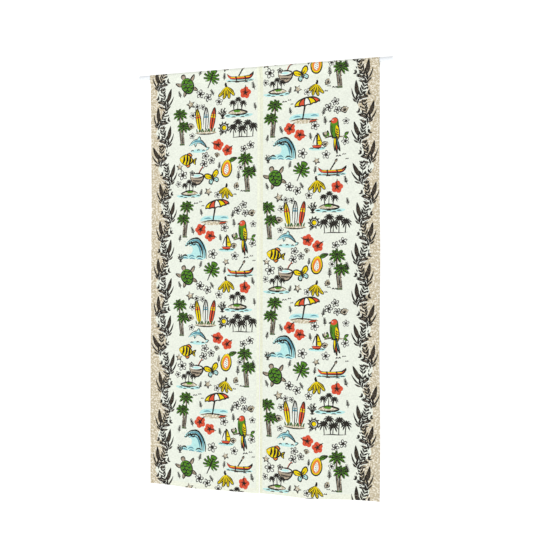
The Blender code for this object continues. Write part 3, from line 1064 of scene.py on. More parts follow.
def ink_row(ink, dry=0.0, freckle=0.0):
    """An ink's colour as light, how dry its brush is, and how much it is freckled."""
    return [*linear(INKS[ink]), dry, freckle]


def mark_table(marks):
    """The row of each mark's ink, and a last one for bare cloth."""
    rows = []
    for ink, ring in marks:
        dry = 1.0 if ink in DRY_INKS else OTHER_INKS_DRYNESS
        rows.append(ink_row(ink, dry, 1.0 if ink == "sand" else 0.0))
    rows.append(ink_row("cloth"))
    return np.array(rows)


def face_inks(side, places, triangles, covers, marks):
    """The ink of each triangle of the printed face. The margins along the slit have no print, and their
    colour holds painted light: the left panel's is painted lighter where its edge lifts into the light, and
    the right panel's is painted in shade.
    """
    middles = places[triangles].mean(axis=1) / MM
    inks = mark_table(marks)[covers]
    inks[(covers < 0) & (middles[:, 1] < BOTTOM_HEM)] = ink_row("hem")
    # The slit's bare margins: painted lighter on the left panel, painted in shade on the right panel.
    inks[side * middles[:, 0] < SLIT_MARGIN] = ink_row("slit_margin_painted_light" if side < 0 else "slit_margin_painted_shade")
    return inks


def back_inks(side, places, triangles, covers, marks, large):
    """What shows on the back: the larger marks, faintly, and full colour on the turned edges."""
    middles = places[triangles].mean(axis=1) / MM
    inks = mark_table(marks)[np.append(large, len(marks))][covers]
    inks[:, :3] = linear(INKS["reverse"]) + SHOWS_THROUGH * (inks[:, :3] - linear(INKS["cloth"]))
    inks[:, 3:] = 0.0
    out = side * middles[:, 0]
    below = middles[:, 1] < HANGING_LENGTH - POCKET_TAIL
    # On both backs the margin along the slit takes the colour that is painted lighter, as if lit.
    inks[out < SLIT_MARGIN] = ink_row("slit_margin_painted_light")
    inks[middles[:, 1] < BOTTOM_HEM] = ink_row("hem")
    inks[(out > HALF_WIDTH - SIDE_HEM) & below] = ink_row("sand", freckle=1.0)
    return inks


def store_inks(mesh, inks):
    """Keeps each triangle's ink on the mesh, where the cotton's material reads it."""
    colours = np.ones((len(inks), 4))
    colours[:, :3] = inks[:, :3]
    ink = mesh.attributes.new("ink", "FLOAT_COLOR", "FACE")
    ink.data.foreach_set("color", colours.ravel())
    for name, column in (("dry_brush", 3), ("freckle", 4)):
        share = mesh.attributes.new(name, "FLOAT", "FACE")
        share.data.foreach_set("value", inks[:, column].copy())


def store_flat_places(mesh, places, faces_end, triangles, rim_start, columns, rows):
    """Two maps of the flat cloth: one in metres for the weave, and one for baking."""
    at = places[triangles]
    flat = mesh.uv_layers.new(name="flat_cloth")
    flat.data.foreach_set("uv", (at / MM).ravel())
    share = (at - [columns[0], rows[0]]) / [columns[-1] - columns[0], rows[-1] - rows[0]]
    is_back = triangles >= faces_end
    bake = np.empty_like(share)
    on_face = BAKED_FACE_START + BAKED_FACE_WIDTH * share[..., 0]
    on_back = BAKED_BACK_START + BAKED_BACK_WIDTH * share[..., 0]
    bake[..., 0] = np.where(is_back, on_back, on_face)
    bake[..., 1] = BAKED_LOWEST + BAKED_HEIGHT * share[..., 1]
    # The thin edge has four pairs of strips of its own, one pair for each side of the cloth.
    rim = share[rim_start:]
    x, y = rim.mean(axis=1).T
    strip = np.argmin([y, 1 - x, 1 - y, x], axis=0)[:, None]
    across = BAKED_STRIP_STEP * strip + BAKED_STRIP_WIDTH * is_back[rim_start:]
    bake[rim_start:, :, 0] = BAKED_EDGE_START + across
    bake[rim_start:, :, 1] = BAKED_LOWEST + BAKED_HEIGHT * np.where(strip % 2 == 0, rim[..., 0], rim[..., 1])
    maps = mesh.uv_layers.new(name="OFBake")
    maps.data.foreach_set("uv", bake.ravel())


# The print on each panel

def one_repeat():
    """Every mark of one repeat of the field."""
    pen = Pen()
    for number, (motif, x, y, turn, size, flip) in enumerate(LAYOUT):
        pen.settle(x + y * 1j, turn, size, flip, number)
        motif(pen)
    return pen.marks


def border_drift(up, side):
    """How far in the whole border wanders at this height, with the print's own repeat."""
    return BORDER_DRIFT * np.sin(math.tau * up / REPEAT + BORDER_DRIFT_PHASE * side)


def border_marks(side, high):
    """The sand-coloured band down the outer edge, and the sprays that climb it by turns in two rows."""
    pen = Pen()
    half = MM * HALF_WIDTH
    first_up = FIRST_SPRAY_UP - (SPRAY_OFFSET if side > 0 else 0.0)
    # The band reaches furthest in just below each inner spray.
    widest_up = first_up + SPRAY_STEP - BAND_BELOW_SPRAY
    ups = np.arange(-BAND_PAST_ENDS, high + BAND_PAST_ENDS, BAND_STEP)
    bulge = BAND_WAVE * np.cos(math.pi * (ups - widest_up) / SPRAY_STEP)
    inner = half - BAND_WIDTH - bulge - BAND_RIPPLE * np.sin(math.tau * ups / BAND_RIPPLE_LENGTH + side)
    inner = inner - border_drift(ups, side)
    past = half + BAND_PAST_EDGE
    foot = past - BAND_PAST_ENDS * 1j
    head = past + (high + BAND_PAST_ENDS) * 1j
    band = np.concatenate([[foot], inner + 1j * ups, [head]])
    pen.mark(side * band.real + 1j * band.imag, "sand")
    count = int((high + BAND_PAST_ENDS - first_up) / SPRAY_STEP) + 1
    for number in range(count):
        near_edge = number % 2 == 0
        kind = 2 * (number % SPRAYS_A_REPEAT) + side
        up = first_up + number * SPRAY_STEP
        out = half - (OUTER_SPRAY if near_edge else INNER_SPRAY) - border_drift(up, side)
        # A spray near the edge leans out, and the next one leans in.
        turn = random.Random(kind).uniform(-SPRAY_TURN, SPRAY_TURN)
        pen.settle(side * out + up * 1j, turn, SPRAY_SIZE, (side > 0) != near_edge, kind)
        spray(pen, kind)
    return pen.marks


def panel_marks(panel, repeat):
    """The band, then the field, then the sprays over both. The left panel's field is half a repeat lower."""
    side = panel["side"]
    high = MM * FLAT_LENGTH
    start = FIELD_START if side > 0 else -FIELD_START - FIELD
    offset = 0.0 if side > 0 else REPEAT / 2
    low_x, high_x = sorted((side * MM * SLIT_AT_ROD / 2, side * MM * HALF_WIDTH))
    field = []
    for number in range(-1, math.ceil(high / REPEAT) + 1):
        shift = start + (number * REPEAT + offset) * 1j
        field += [(ink, ring + shift) for ink, ring in repeat]
    border = border_marks(side, high)
    marks = []
    for ink, ring in border[:1] + field + border[1:]:
        x, y = ring.real, ring.imag
        if y.max() >= 0 and y.min() <= high and x.max() >= low_x and x.min() <= high_x:
            marks.append((ink, ring))
    return marks


# The printed cloth as a mesh

def new_object(name, data):
    """An object in the scene of this mesh, lamp or camera."""
    obj = bpy.data.objects.new(name, data)
    bpy.context.scene.collection.objects.link(obj)
    return obj


def fold_lines():
    """The lines that divide a panel's flat cloth, in millimetres from the middle line and from the hem."""
    slit = SLIT_AT_ROD / 2
    inner = slit + SIDE_HEM + HEM_STEP
    outer = HALF_WIDTH - SIDE_HEM - HEM_STEP
    between = np.linspace(inner, outer, round(MM * (outer - inner) / COLUMN_STEP) + 1)
    across = [slit, slit + SIDE_HEM, *between, HALF_WIDTH - SIDE_HEM, HALF_WIDTH]
    low = BOTTOM_HEM + HEM_STEP
    gathered = HANGING_LENGTH - 2 * SEAM_GATHER_REACH
    pocket_foot = HANGING_LENGTH - POCKET_TAIL
    field_rows = round(MM * (gathered - low) / ROW_STEP)
    seam_rows = round(MM * (pocket_foot - gathered) / SEAM_ROW_STEP)
    fold_rows = round(MM * (POCKET_ROUND - POCKET_STRAIGHT) / FOLD_ROW_STEP)
    seam_back = FLAT_LENGTH - POCKET_TAIL
    up = [0.0, BOTTOM_HEM, *np.linspace(low, gathered, field_rows + 1)]
    up += [*np.linspace(gathered, pocket_foot, seam_rows + 1)[1:-1]]
    up += [pocket_foot - SIDE_HEM_WHOLE, pocket_foot - SIDE_HEM_BEGINS, pocket_foot]
    up += [*np.linspace(HANGING_LENGTH, HANGING_LENGTH + POCKET_STRAIGHT, 5)[:-1]]
    up += [*np.linspace(HANGING_LENGTH + POCKET_STRAIGHT, HANGING_LENGTH + POCKET_ROUND, fold_rows + 1)]
    up += [*np.linspace(HANGING_LENGTH + POCKET_ROUND, seam_back, 5)[1:], FLAT_LENGTH]
    return MM * np.array(across), MM * np.array(up)


def cut_cloth(places, edges, columns, rows):
    """The flat cloth cut along the fold lines and these edges, as its points and its triangles."""
    left, right, low, high = columns[0], columns[-1], rows[0], rows[-1]
    folds = [(x, y) for x in columns for y in (low, high)] + [(x, y) for y in rows for x in (left, right)]
    count = len(folds)
    sides = [(k, k + 1) for k in range(0, count, 2)]
    sides += [(0, 1), (2 * len(columns) - 2, 2 * len(columns) - 1)]
    sides += (np.asarray(edges) + count).tolist()
    points = [Vector(point) for point in folds + places.tolist()]
    found = delaunay_2d_cdt(points, sides, [], 0, JOIN, False)
    cut_places = np.array([tuple(point) for point in found[0]])
    triangles = np.array([(face[0], *pair) for face in found[2] for pair in zip(face[1:], face[2:])])
    middles = cut_places[triangles].mean(axis=1)
    inside = ((middles > [left, low]) & (middles < [right, high])).all(axis=1)
    used, triangles = np.unique(triangles[inside], return_inverse=True)
    return cut_places[used], triangles.reshape(-1, 3)


def edges_that_show(triangles, inks):
    """The edges where one ink meets another."""
    sides = np.concatenate([triangles[:, [0, 1]], triangles[:, [1, 2]], triangles[:, [2, 0]]])
    sides = np.sort(sides, axis=1)
    order = np.lexsort((sides[:, 1], sides[:, 0]))
    sides = sides[order]
    ink_beside = np.tile(inks, 3)[order]
    shared = np.flatnonzero((sides[1:] == sides[:-1]).all(axis=1))
    return sides[shared[ink_beside[shared] != ink_beside[shared + 1]]]


def cut_along(marks, columns, rows):
    """The flat cloth cut into triangles along the fold lines and wherever one ink meets another.

    Returns the points, the triangles and the number of the last mark that covers each triangle, or -1.
    """
    starts = np.cumsum([0] + [len(ring) for ink, ring in marks])
    places = np.concatenate([ring for ink, ring in marks])
    edges = []
    for start, (ink, ring) in zip(starts, marks):
        numbers = start + np.arange(len(ring))
        edges.append(np.stack([numbers, np.roll(numbers, -1)], axis=1))
    places = np.stack([places.real, places.imag], axis=1)
    places, triangles = cut_cloth(places, np.concatenate(edges), columns, rows)
    ink_numbers = np.array([list(INKS).index(ink) for ink, ring in marks] + [-1])
    inks = ink_numbers[last_covers(places[triangles].mean(axis=1), marks)]
    # What later marks hide is left out of the second cut.
    used, edges = np.unique(edges_that_show(triangles, inks), return_inverse=True)
    places, triangles = cut_cloth(places[used], edges.reshape(-1, 2), columns, rows)
    return places, triangles, last_covers(places[triangles].mean(axis=1), marks)


def edge_run(places, columns, rows):
    """The points on the cloth's edge in their order round it, how far round each lies, and the whole way.

    The way round starts at the lower left corner and runs along the hem first.
    """
    width = columns[-1] - columns[0]
    height = rows[-1] - rows[0]
    x = places[:, 0] - columns[0]
    y = places[:, 1] - rows[0]
    round_to = np.full(len(places), np.nan)
    near = JOIN / 4
    round_to[x < near] = (2 * width + 2 * height - y)[x < near]
    round_to[y > height - near] = (2 * width + height - x)[y > height - near]
    round_to[x > width - near] = (width + y)[x > width - near]
    round_to[y < near] = x[y < near]
    on_edge = np.flatnonzero(~np.isnan(round_to))
    order = on_edge[np.argsort(round_to[on_edge])]
    return order, round_to[order], 2 * (width + height)


def join_runs(front, front_to, back, back_to, whole):
    """Triangles that close the thin edge between the printed face's run of points and the back's."""
    ends_front = np.append(front_to[1:], whole)
    ends_back = np.append(back_to[1:], whole)
    triangles = []
    i = 0
    j = 0
    while i < len(front) or j < len(back):
        here, there = front[i % len(front)], back[j % len(back)]
        if j == len(back) or (i < len(front) and ends_front[i] <= ends_back[j]):
            i += 1
            triangles.append((here, there, front[i % len(front)]))
        else:
            j += 1
            triangles.append((here, there, back[j % len(back)]))
    return np.array(triangles)


def build_panel(panel, marks, material):
    """One panel: its printed face, its back with the larger marks showing through, and its thin edge."""
    side = panel["side"]
    outs, rows = fold_lines()
    columns = np.sort(side * outs)
    face_places, face_triangles, face_marks = cut_along(marks, columns, rows)
    large = [k for k, (ink, ring) in enumerate(marks) if ring_area(ring) > SHOWS_THROUGH_AREA]
    back_places, back_triangles, back_marks = cut_along([marks[k] for k in large], columns, rows)
    face_run, face_to, whole = edge_run(face_places, columns, rows)
    back_run, back_to, whole = edge_run(back_places, columns, rows)
    count = len(face_places)
    rim = join_runs(face_run, face_to, back_run + count, back_to, whole)
    places = np.concatenate([face_places, back_places])
    triangles = np.concatenate([face_triangles, back_triangles[:, ::-1] + count, rim])

    out = side * places[:, 0] / MM
    up = places[:, 1] / MM
    points = hang(panel, out, up)
    normals = outward(panel, out, up)
    is_back = np.arange(len(places)) >= count
    points[is_back] -= normals[is_back] * thickness(out, up)[is_back, None]
    normals[is_back] *= -1

    name = panel["node"] + "_cloth"
    mesh = bpy.data.meshes.new(name)
    mesh.from_pydata(points.tolist(), [], triangles.tolist())
    mesh.update()
    inks = face_inks(side, face_places, face_triangles, face_marks, marks)
    inks_back = back_inks(side, back_places, back_triangles, back_marks, marks, large)
    inks_edge = np.tile(ink_row("hem"), (len(rim), 1))
    store_inks(mesh, np.concatenate([inks, inks_back, inks_edge]))
    store_flat_places(mesh, places, count, triangles, len(inks) + len(inks_back), columns, rows)
    mesh.shade_smooth()
    mesh.normals_split_custom_set_from_vertices(normals.tolist())
    mesh.materials.append(material)
    return new_object(name, mesh)


# The sewing

def sewn_rows():
    """Each sewn row as its ends, distance out and up on the flat cloth, and whether it lies on the back."""
    top = HANGING_LENGTH - POCKET_TAIL - ROW_END_BELOW_POCKET
    seam_back = FLAT_LENGTH - POCKET_TAIL
    slit_row = SLIT_AT_ROD / 2 + STITCH_FROM_FOLD * SIDE_HEM
    edge_row = HALF_WIDTH - STITCH_FROM_FOLD * SIDE_HEM
    hem_row = STITCH_FROM_FOLD * BOTTOM_HEM
    rows = []
    for behind in (False, True):
        rows.append(((slit_row, hem_row), (slit_row, top), behind))
        rows.append(((edge_row, hem_row), (edge_row, top), behind))
        rows.append(((slit_row, hem_row), (edge_row, hem_row), behind))
    start = SLIT_AT_ROD / 2 + ROW_END_FROM_EDGE
    end = HALF_WIDTH - ROW_END_FROM_EDGE
    for up in (HANGING_LENGTH, seam_back):
        rows.append(((start, up), (end, up), False))
    return rows


def build_stitches(panel, material):
    """Every stitch of one panel's sewn rows, as small grains of thread that lie half in the cloth."""
    hand = np.random.default_rng(5 + panel["side"])
    starts = []
    ends = []
    behind = []
    for first, last, is_behind in sewn_rows():
        first = np.array(first)
        last = np.array(last)
        length = np.linalg.norm(last - first)
        count = round(length / STITCH_PITCH)
        along = (last - first) / count
        foot = first + along * (np.arange(count)[:, None] + 0.5 * (1 - STITCH_LENGTH / STITCH_PITCH))
        foot = foot + hand.normal(0, STITCH_UNEVENNESS, foot.shape)
        starts.append(foot)
        ends.append(foot + along * STITCH_LENGTH / STITCH_PITCH)
        behind += [is_behind] * count
    starts = np.concatenate(starts)
    ends = np.concatenate(ends)
    behind = np.array(behind)[:, None]

    def on_cloth(at):
        """Where places on the flat cloth hang, on its own side, and the direction out of the cloth there."""
        points = hang(panel, *at.T)
        normal = outward(panel, *at.T)
        depth = thickness(*at.T)[:, None]
        return np.where(behind, points - normal * depth, points), np.where(behind, -normal, normal)

    foot, out_foot = on_cloth(starts)
    tip, out_tip = on_cloth(ends)
    out = (out_foot + out_tip) / 2
    run = tip - foot
    sideways = np.cross(out, run / np.linalg.norm(run, axis=1, keepdims=True))
    # A stitch is a point at each end with three rings of four points between them.
    rings = []
    for share, full in STITCH_RINGS:
        middle = foot + run * share + out * STITCH_RISE * (STITCH_ARCH * full - STITCH_SINK)
        if full == 0.0:
            rings.append([middle])
            continue
        wide = sideways * STITCH_WIDTH / 2 * full
        tall = out * STITCH_RISE * full
        rings.append([middle + wide, middle + tall, middle - wide, middle - tall])
    points = np.concatenate([np.stack(ring, axis=1) for ring in rings], axis=1)
    faces = []
    for k in range(4):
        n = (k + 1) % 4
        faces.append((0, 1 + n, 1 + k))
        faces.append((1 + k, 1 + n, 5 + n, 5 + k))
        faces.append((5 + k, 5 + n, 9 + n, 9 + k))
        faces.append((9 + k, 9 + n, 13))
    per_stitch = points.shape[1]
    all_faces = [tuple(per_stitch * s + v for v in face) for s in range(len(points)) for face in faces]
    name = panel["node"] + "_stitches"
    mesh = bpy.data.meshes.new(name)
    mesh.from_pydata(points.reshape(-1, 3).tolist(), [], all_faces)
    mesh.shade_smooth()
    mesh.materials.append(material)
    return new_object(name, mesh)


# Materials

def feed(tree, socket, value):
    """Joins a socket to another node's socket, or sets it to a value."""
    if isinstance(value, bpy.types.NodeSocket):
        tree.links.new(value, socket)
    else:
        socket.default_value = value


def add_node(tree, kind, values=(), **settings):
    """A new shader node, with its own settings and with these values fed to its sockets."""
    node = tree.nodes.new(kind)
    for name, value in settings.items():
        setattr(node, name, value)
    for socket, value in values:
        feed(tree, node.inputs[socket], value)
    return node


def calculate(tree, operation, *values, clamp=False):
    """What a calculation with numbers gives."""
    node = add_node(tree, "ShaderNodeMath", enumerate(values), operation=operation, use_clamp=clamp)
    return node.outputs[0]


def vector(tree, operation, *values):
    """What a calculation with vectors gives."""
    return add_node(tree, "ShaderNodeVectorMath", enumerate(values), operation=operation).outputs[0]


def remap(tree, value, low, high, to_low=0.0, to_high=1.0):
    """value, moved from low..high to to_low..to_high and held there."""
    sockets = ("Value", "From Min", "From Max", "To Min", "To Max")
    values = zip(sockets, (value, low, high, to_low, to_high))
    return add_node(tree, "ShaderNodeMapRange", values).outputs[0]


def blend_colours(tree, share, first, second, blend="MIX"):
    """The first colour with this share of the second blended in."""
    node = add_node(tree, "ShaderNodeMix", data_type="RGBA", blend_type=blend)
    sockets = {socket.identifier: socket for socket in node.inputs}
    feed(tree, sockets["Factor_Float"], share)
    feed(tree, sockets["A_Color"], first)
    feed(tree, sockets["B_Color"], second)
    return next(socket for socket in node.outputs if socket.identifier == "Result_Color")


def grey(tree, light):
    """A colour that is as light as this number."""
    values = [("Red", light), ("Green", light), ("Blue", light)]
    return add_node(tree, "ShaderNodeCombineColor", values).outputs[0]


def noise(tree, place, scale, detail=2.0, roughness=0.5, output="Fac"):
    """Cloudy noise, whose scale is in waves to a millimetre."""
    values = (("Vector", place), ("Scale", scale), ("Detail", detail), ("Roughness", roughness))
    return add_node(tree, "ShaderNodeTexNoise", values).outputs[output]


def solid_place(tree):
    """Where a piece's own points lie, in millimetres."""
    at = add_node(tree, "ShaderNodeTexCoord").outputs["Object"]
    return vector(tree, "MULTIPLY", at, (MM, MM, MM))


def emboss(tree, shader, height, strength, distance):
    """Shades the surface as if this height, times the distance in metres, stood on it."""
    values = [("Height", height), ("Strength", strength), ("Distance", distance)]
    bump = add_node(tree, "ShaderNodeBump", values)
    tree.links.new(bump.outputs["Normal"], shader.inputs["Normal"])


def new_group(name, inputs, outputs):
    """A shader node group with these named sockets, with where they start and end inside it."""
    tree = bpy.data.node_groups.new(name, "ShaderNodeTree")
    kinds = {"vector": "NodeSocketVector", "number": "NodeSocketFloat", "colour": "NodeSocketColor"}
    for label, kind, value in inputs:
        socket = tree.interface.new_socket(label, in_out="INPUT", socket_type=kinds[kind])
        if value is not None:
            socket.default_value = value
    for label, kind in outputs:
        tree.interface.new_socket(label, in_out="OUTPUT", socket_type=kinds[kind])
    start = tree.nodes.new("NodeGroupInput")
    end = tree.nodes.new("NodeGroupOutput")
    return tree, start.outputs, end.inputs


def place_group(tree, group, values):
    """A group placed in a material with its own values."""
    return add_node(tree, "ShaderNodeGroup", values, node_tree=group)


def plain_weave():
    """Plain weave with thick and thin yarns, for a place in millimetres.

    Height is 0 in the holes and 1 on the yarns. Closeness is how much yarn lies there, from 0 to 2.
    """
    tree, start, end = new_group(
        "Plain weave",
        [("Place", "vector", None), ("Pitch", "number", 1.1), ("Slub", "number", 0.5)],
        [("Height", "number"), ("Closeness", "number")],
    )
    drift = noise(tree, start["Place"], 0.045, 1.0, output="Color")
    drift = vector(tree, "MULTIPLY", vector(tree, "SUBTRACT", drift, (0.5, 0.5, 0.5)), (3.0, 3.0, 0.0))
    place = vector(tree, "ADD", start["Place"], drift)
    split = add_node(tree, "ShaderNodeSeparateXYZ", [("Vector", place)])
    turns = calculate(tree, "DIVIDE", math.pi, start["Pitch"])
    across = calculate(tree, "SINE", calculate(tree, "MULTIPLY", split.outputs["X"], turns))
    along = calculate(tree, "SINE", calculate(tree, "MULTIPLY", split.outputs["Y"], turns))
    both = calculate(tree, "MULTIPLY", across, along)
    warp = calculate(tree, "ADD", calculate(tree, "ABSOLUTE", across), both)
    weft = calculate(tree, "SUBTRACT", calculate(tree, "ABSOLUTE", along), both)
    thick = []
    for stretch in ((0.42, 0.1, 1.0), (0.1, 0.42, 1.0)):
        slub = noise(tree, vector(tree, "MULTIPLY", place, stretch), 1.0)
        thick.append(remap(tree, slub, 0.35, 0.7))
    yarns = []
    for yarn, slub in ((warp, thick[0]), (weft, thick[1])):
        more = calculate(tree, "MULTIPLY_ADD", slub, start["Slub"], 0.7)
        yarns.append(calculate(tree, "MULTIPLY", calculate(tree, "MULTIPLY", yarn, 0.5), more))
    tree.links.new(calculate(tree, "MAXIMUM", *yarns, clamp=True), end["Height"])
    tree.links.new(calculate(tree, "ADD", *thick), end["Closeness"])
    return tree


def uneven_dye():
    """A colour that is a little darker and lighter from place to place."""
    tree, start, end = new_group(
        "Uneven dye",
        [
            ("Colour", "colour", (0.8, 0.8, 0.8, 1.0)), ("Place", "vector", None),
            ("Size", "number", 30.0), ("Amount", "number", 0.03),
        ],
        [("Colour", "colour")],
    )
    scale = calculate(tree, "DIVIDE", 1.0, start["Size"])
    cloud = remap(tree, noise(tree, start["Place"], scale, 3.0, 0.6), 0.3, 0.7, -1.0, 1.0)
    light = calculate(tree, "MULTIPLY_ADD", cloud, start["Amount"], 1.0)
    tree.links.new(blend_colours(tree, 1.0, start["Colour"], grey(tree, light), "MULTIPLY"), end["Colour"])
    return tree


def dry_brush():
    """Where the ink is thin and the cloth shows through it, from 0 to 1: streaks and pinholes."""
    tree, start, end = new_group(
        "Dry brush",
        [("Place", "vector", None), ("Yarn height", "number", 0.5), ("Amount", "number", 0.5)],
        [("Thin", "number")],
    )
    stretched = vector(tree, "MULTIPLY", start["Place"], (1.0, 0.45, 1.0))
    streaks = noise(tree, stretched, 0.55, 3.0, 0.65)
    worn = remap(tree, streaks, 0.54, 0.78)
    pinholes = remap(tree, start["Yarn height"], 0.30, 0.12)
    thin = calculate(tree, "MAXIMUM", worn, calculate(tree, "MULTIPLY", pinholes, 0.5))
    tree.links.new(calculate(tree, "MULTIPLY", thin, start["Amount"], clamp=True), end["Thin"])
    return tree


def sand_freckle():
    """Sand printed as freckles: pale flecks and a few dark ones on the middle tone."""
    tree, start, end = new_group(
        "Sand freckle",
        [("Colour", "colour", (0.7, 0.6, 0.5, 1.0)), ("Place", "vector", None), ("Amount", "number", 1.0)],
        [("Colour", "colour")],
    )
    flecks = noise(tree, start["Place"], 0.15, 2.0, 0.6)
    pale = calculate(tree, "MULTIPLY", remap(tree, flecks, 0.50, 0.56), start["Amount"])
    grains = noise(tree, vector(tree, "ADD", start["Place"], (37.0, 11.0, 0.0)), 0.5, 2.0, 0.6)
    dark = calculate(tree, "MULTIPLY", remap(tree, grains, 0.58, 0.66, 0.0, 0.6), start["Amount"])
    colour = blend_colours(tree, pale, start["Colour"], opaque((246, 240, 224)))
    colour = blend_colours(tree, dark, colour, opaque((160, 142, 112)))
    tree.links.new(colour, end["Colour"])
    return tree


def new_material(name, roughness, specular):
    """A material and its shader, with what is the same all over the surface set on the shader itself."""
    material = bpy.data.materials.new(name)
    material.use_nodes = True
    shader = material.node_tree.nodes["Principled BSDF"]
    shader.inputs["Roughness"].default_value = roughness
    shader.inputs["Specular IOR Level"].default_value = specular
    return material, material.node_tree, shader


def printed_cotton(weave, dye, brush, freckle):
    """The curtain's cotton: pale slubby plain weave with its print sunk in the yarns."""
    material, tree, shader = new_material("printed cotton", 0.95, 0.06)
    shader.inputs["Sheen Weight"].default_value = 0.015
    shader.inputs["Sheen Roughness"].default_value = 0.6
    flat = add_node(tree, "ShaderNodeUVMap", uv_map="flat_cloth").outputs[0]
    place = vector(tree, "MULTIPLY", flat, (MM, MM, 0.0))
    ink = add_node(tree, "ShaderNodeAttribute", attribute_name="ink")
    dry = add_node(tree, "ShaderNodeAttribute", attribute_name="dry_brush")
    sand = add_node(tree, "ShaderNodeAttribute", attribute_name="freckle")
    woven = place_group(tree, weave, [("Place", place), ("Pitch", 1.1), ("Slub", 0.55)])
    yarn = woven.outputs["Height"]
    amount = calculate(tree, "MULTIPLY", dry.outputs["Fac"], MOST_THIN)
    thin = place_group(tree, brush, [("Place", place), ("Yarn height", yarn), ("Amount", amount)])
    printed = blend_colours(tree, thin.outputs["Thin"], ink.outputs["Color"], opaque(INKS["cloth"]))
    values = [("Colour", printed), ("Place", place), ("Amount", sand.outputs["Fac"])]
    freckled = place_group(tree, freckle, values).outputs["Colour"]
    values = [("Colour", freckled), ("Place", place), ("Size", 40.0), ("Amount", 0.025)]
    dyed = place_group(tree, dye, values).outputs["Colour"]
    # The holes between the yarns are painted in shade and the yarns' tops painted a touch lighter, and the
    # cloth is lighter where its yarns lie close.
    painted_hole_shade = remap(tree, yarn, 0.1, 0.5, 0.93, 1.015)
    close = remap(tree, woven.outputs["Closeness"], 0.0, 1.7, 0.90, 1.09)
    light = calculate(tree, "MULTIPLY", painted_hole_shade, close)
    shaded = blend_colours(tree, 1.0, dyed, grey(tree, light), "MULTIPLY")
    tree.links.new(shaded, shader.inputs["Base Color"])
    # The yarns stand about a tenth of a millimetre proud, and the cloth has soft creases from use.
    creased = calculate(tree, "MULTIPLY", noise(tree, place, 0.016, 3.0, 0.45), 1.6)
    emboss(tree, shader, calculate(tree, "MULTIPLY_ADD", yarn, 0.14, creased), 1.0, 0.001)
    return material


def sewing_thread(dye):
    """Off-white twisted cotton thread."""
    material, tree, shader = new_material("sewing thread", 0.7, 0.25)
    shader.inputs["Sheen Weight"].default_value = 0.1
    place = solid_place(tree)
    thread = opaque((240, 240, 226))
    dyed = place_group(tree, dye, [("Colour", thread), ("Place", place), ("Size", 2.0), ("Amount", 0.06)])
    tree.links.new(dyed.outputs["Colour"], shader.inputs["Base Color"])
    # The plies slant across the thread, one every 0.6 mm.
    split = add_node(tree, "ShaderNodeSeparateXYZ", [("Vector", place)])
    slant = calculate(tree, "ADD", split.outputs["X"], split.outputs["Z"])
    slant = calculate(tree, "ADD", slant, split.outputs["Y"])
    ply = calculate(tree, "SINE", calculate(tree, "MULTIPLY", slant, math.tau / 0.6))
    emboss(tree, shader, ply, 0.8, 0.00005)
    return material


def white_enamel(dye):
    """Baked white enamel on the thin rod: smooth, with a faint orange peel and spots rubbed by hands."""
    material, tree, shader = new_material("white enamel", 0.32, 0.5)
    shader.inputs["Coat Weight"].default_value = 0.25
    shader.inputs["Coat Roughness"].default_value = 0.12
    place = solid_place(tree)
    enamel = opaque((240, 244, 248))
    dyed = place_group(tree, dye, [("Colour", enamel), ("Place", place), ("Size", 60.0), ("Amount", 0.012)])
    tree.links.new(dyed.outputs["Colour"], shader.inputs["Base Color"])
    rubbed = noise(tree, place, 0.05, 3.0, 0.6)
    tree.links.new(remap(tree, rubbed, 0.3, 0.75, 0.28, 0.42), shader.inputs["Roughness"])
    emboss(tree, shader, noise(tree, place, 0.9, 1.0), 0.5, 0.00006)
    return material


# The stage

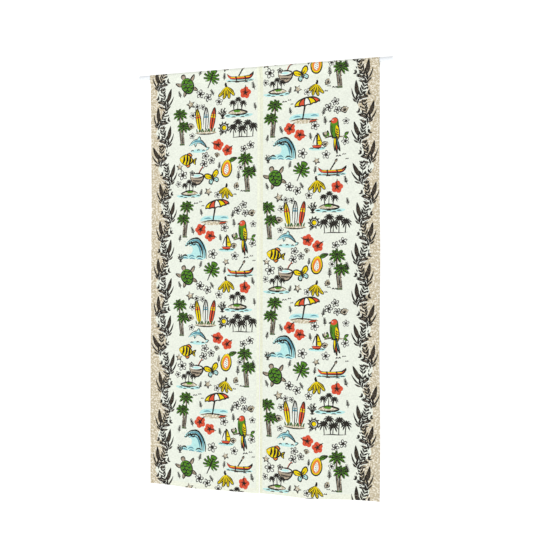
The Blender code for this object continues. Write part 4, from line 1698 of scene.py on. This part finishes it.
def build_stage():
    """A plain pale floor far below the hem, plain soft light, and a white surround."""
    half = FLOOR_SIZE / 2
    mesh = bpy.data.meshes.new("floor")
    corners = [(x, y, FLOOR_Z) for x, y in ((-half, -half), (half, -half), (half, half), (-half, half))]
    mesh.from_pydata(corners, [], [(0, 1, 2, 3)])
    material, tree, shader = new_material("pale floor", 0.9, 0.1)
    shader.inputs["Base Color"].default_value = (0.9, 0.9, 0.9, 1.0)
    shader.inputs["Emission Color"].default_value = (1.0, 1.0, 1.0, 1.0)
    shader.inputs["Emission Strength"].default_value = FLOOR_GLOW
    mesh.materials.append(material)
    floor = new_object("floor", mesh)

    world = bpy.data.worlds.new("white surround")
    bpy.context.scene.world = world
    world.use_nodes = True
    tree = world.node_tree
    background = tree.nodes["Background"]
    background.inputs["Color"].default_value = (1.0, 1.0, 1.0, 1.0)
    seen = add_node(tree, "ShaderNodeLightPath").outputs["Is Camera Ray"]
    strength = remap(tree, seen, 0.0, 1.0, SURROUND_LIGHT, SURROUND_SEEN)
    tree.links.new(strength, background.inputs["Strength"])

    for name, place, aim, size, power in LAMPS:
        light = bpy.data.lights.new(name, "AREA")
        light.shape = "SQUARE"
        light.size = size
        light.energy = power
        lamp = new_object(name, light)
        lamp.location = place
        lamp.rotation_euler = (Vector(aim) - Vector(place)).to_track_quat("-Z", "Y").to_euler()
    bpy.context.scene.view_settings.view_transform = "Standard"


def place_camera():
    """Level, at the photograph's angle, as far and as long as its frame says."""
    away = Vector((math.sin(VIEW_TURN), -math.cos(VIEW_TURN), 0.0))
    right = Vector((math.cos(VIEW_TURN), math.sin(VIEW_TURN), 0.0))
    middle = Vector((0.0, 0.0, SOLID_FOLD_RADIUS - CURTAIN_DROP / 2))
    lens = bpy.data.cameras.new("camera")
    lens.sensor_width = SENSOR
    lens.lens = FOCAL_LENGTH_PIXELS / PICTURE * SENSOR
    lens.shift_y = HORIZON_BELOW_MIDDLE_PIXELS / PICTURE
    camera = new_object("camera", lens)
    camera.location = middle + away * VIEW_DISTANCE + right * VIEW_ASIDE
    camera.rotation_euler = (math.pi / 2, 0.0, VIEW_TURN)
    bpy.context.scene.camera = camera


def build():
    """The stage, both panels with their sewing, and the rod's enamel."""
    place_camera()
    build_stage()
    dye = uneven_dye()
    cotton = printed_cotton(plain_weave(), dye, dry_brush(), sand_freckle())
    thread = sewing_thread(dye)
    repeat = one_repeat()
    for panel in PANELS:
        cloth = build_panel(panel, panel_marks(panel, repeat), cotton)
        stitches = build_stitches(panel, thread)
        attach(cloth, "root")
        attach(stitches, "root")
        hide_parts(panel["node"])
    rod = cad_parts["rod"]
    rod.data.materials.clear()
    rod.data.materials.append(white_enamel(dye))


build()
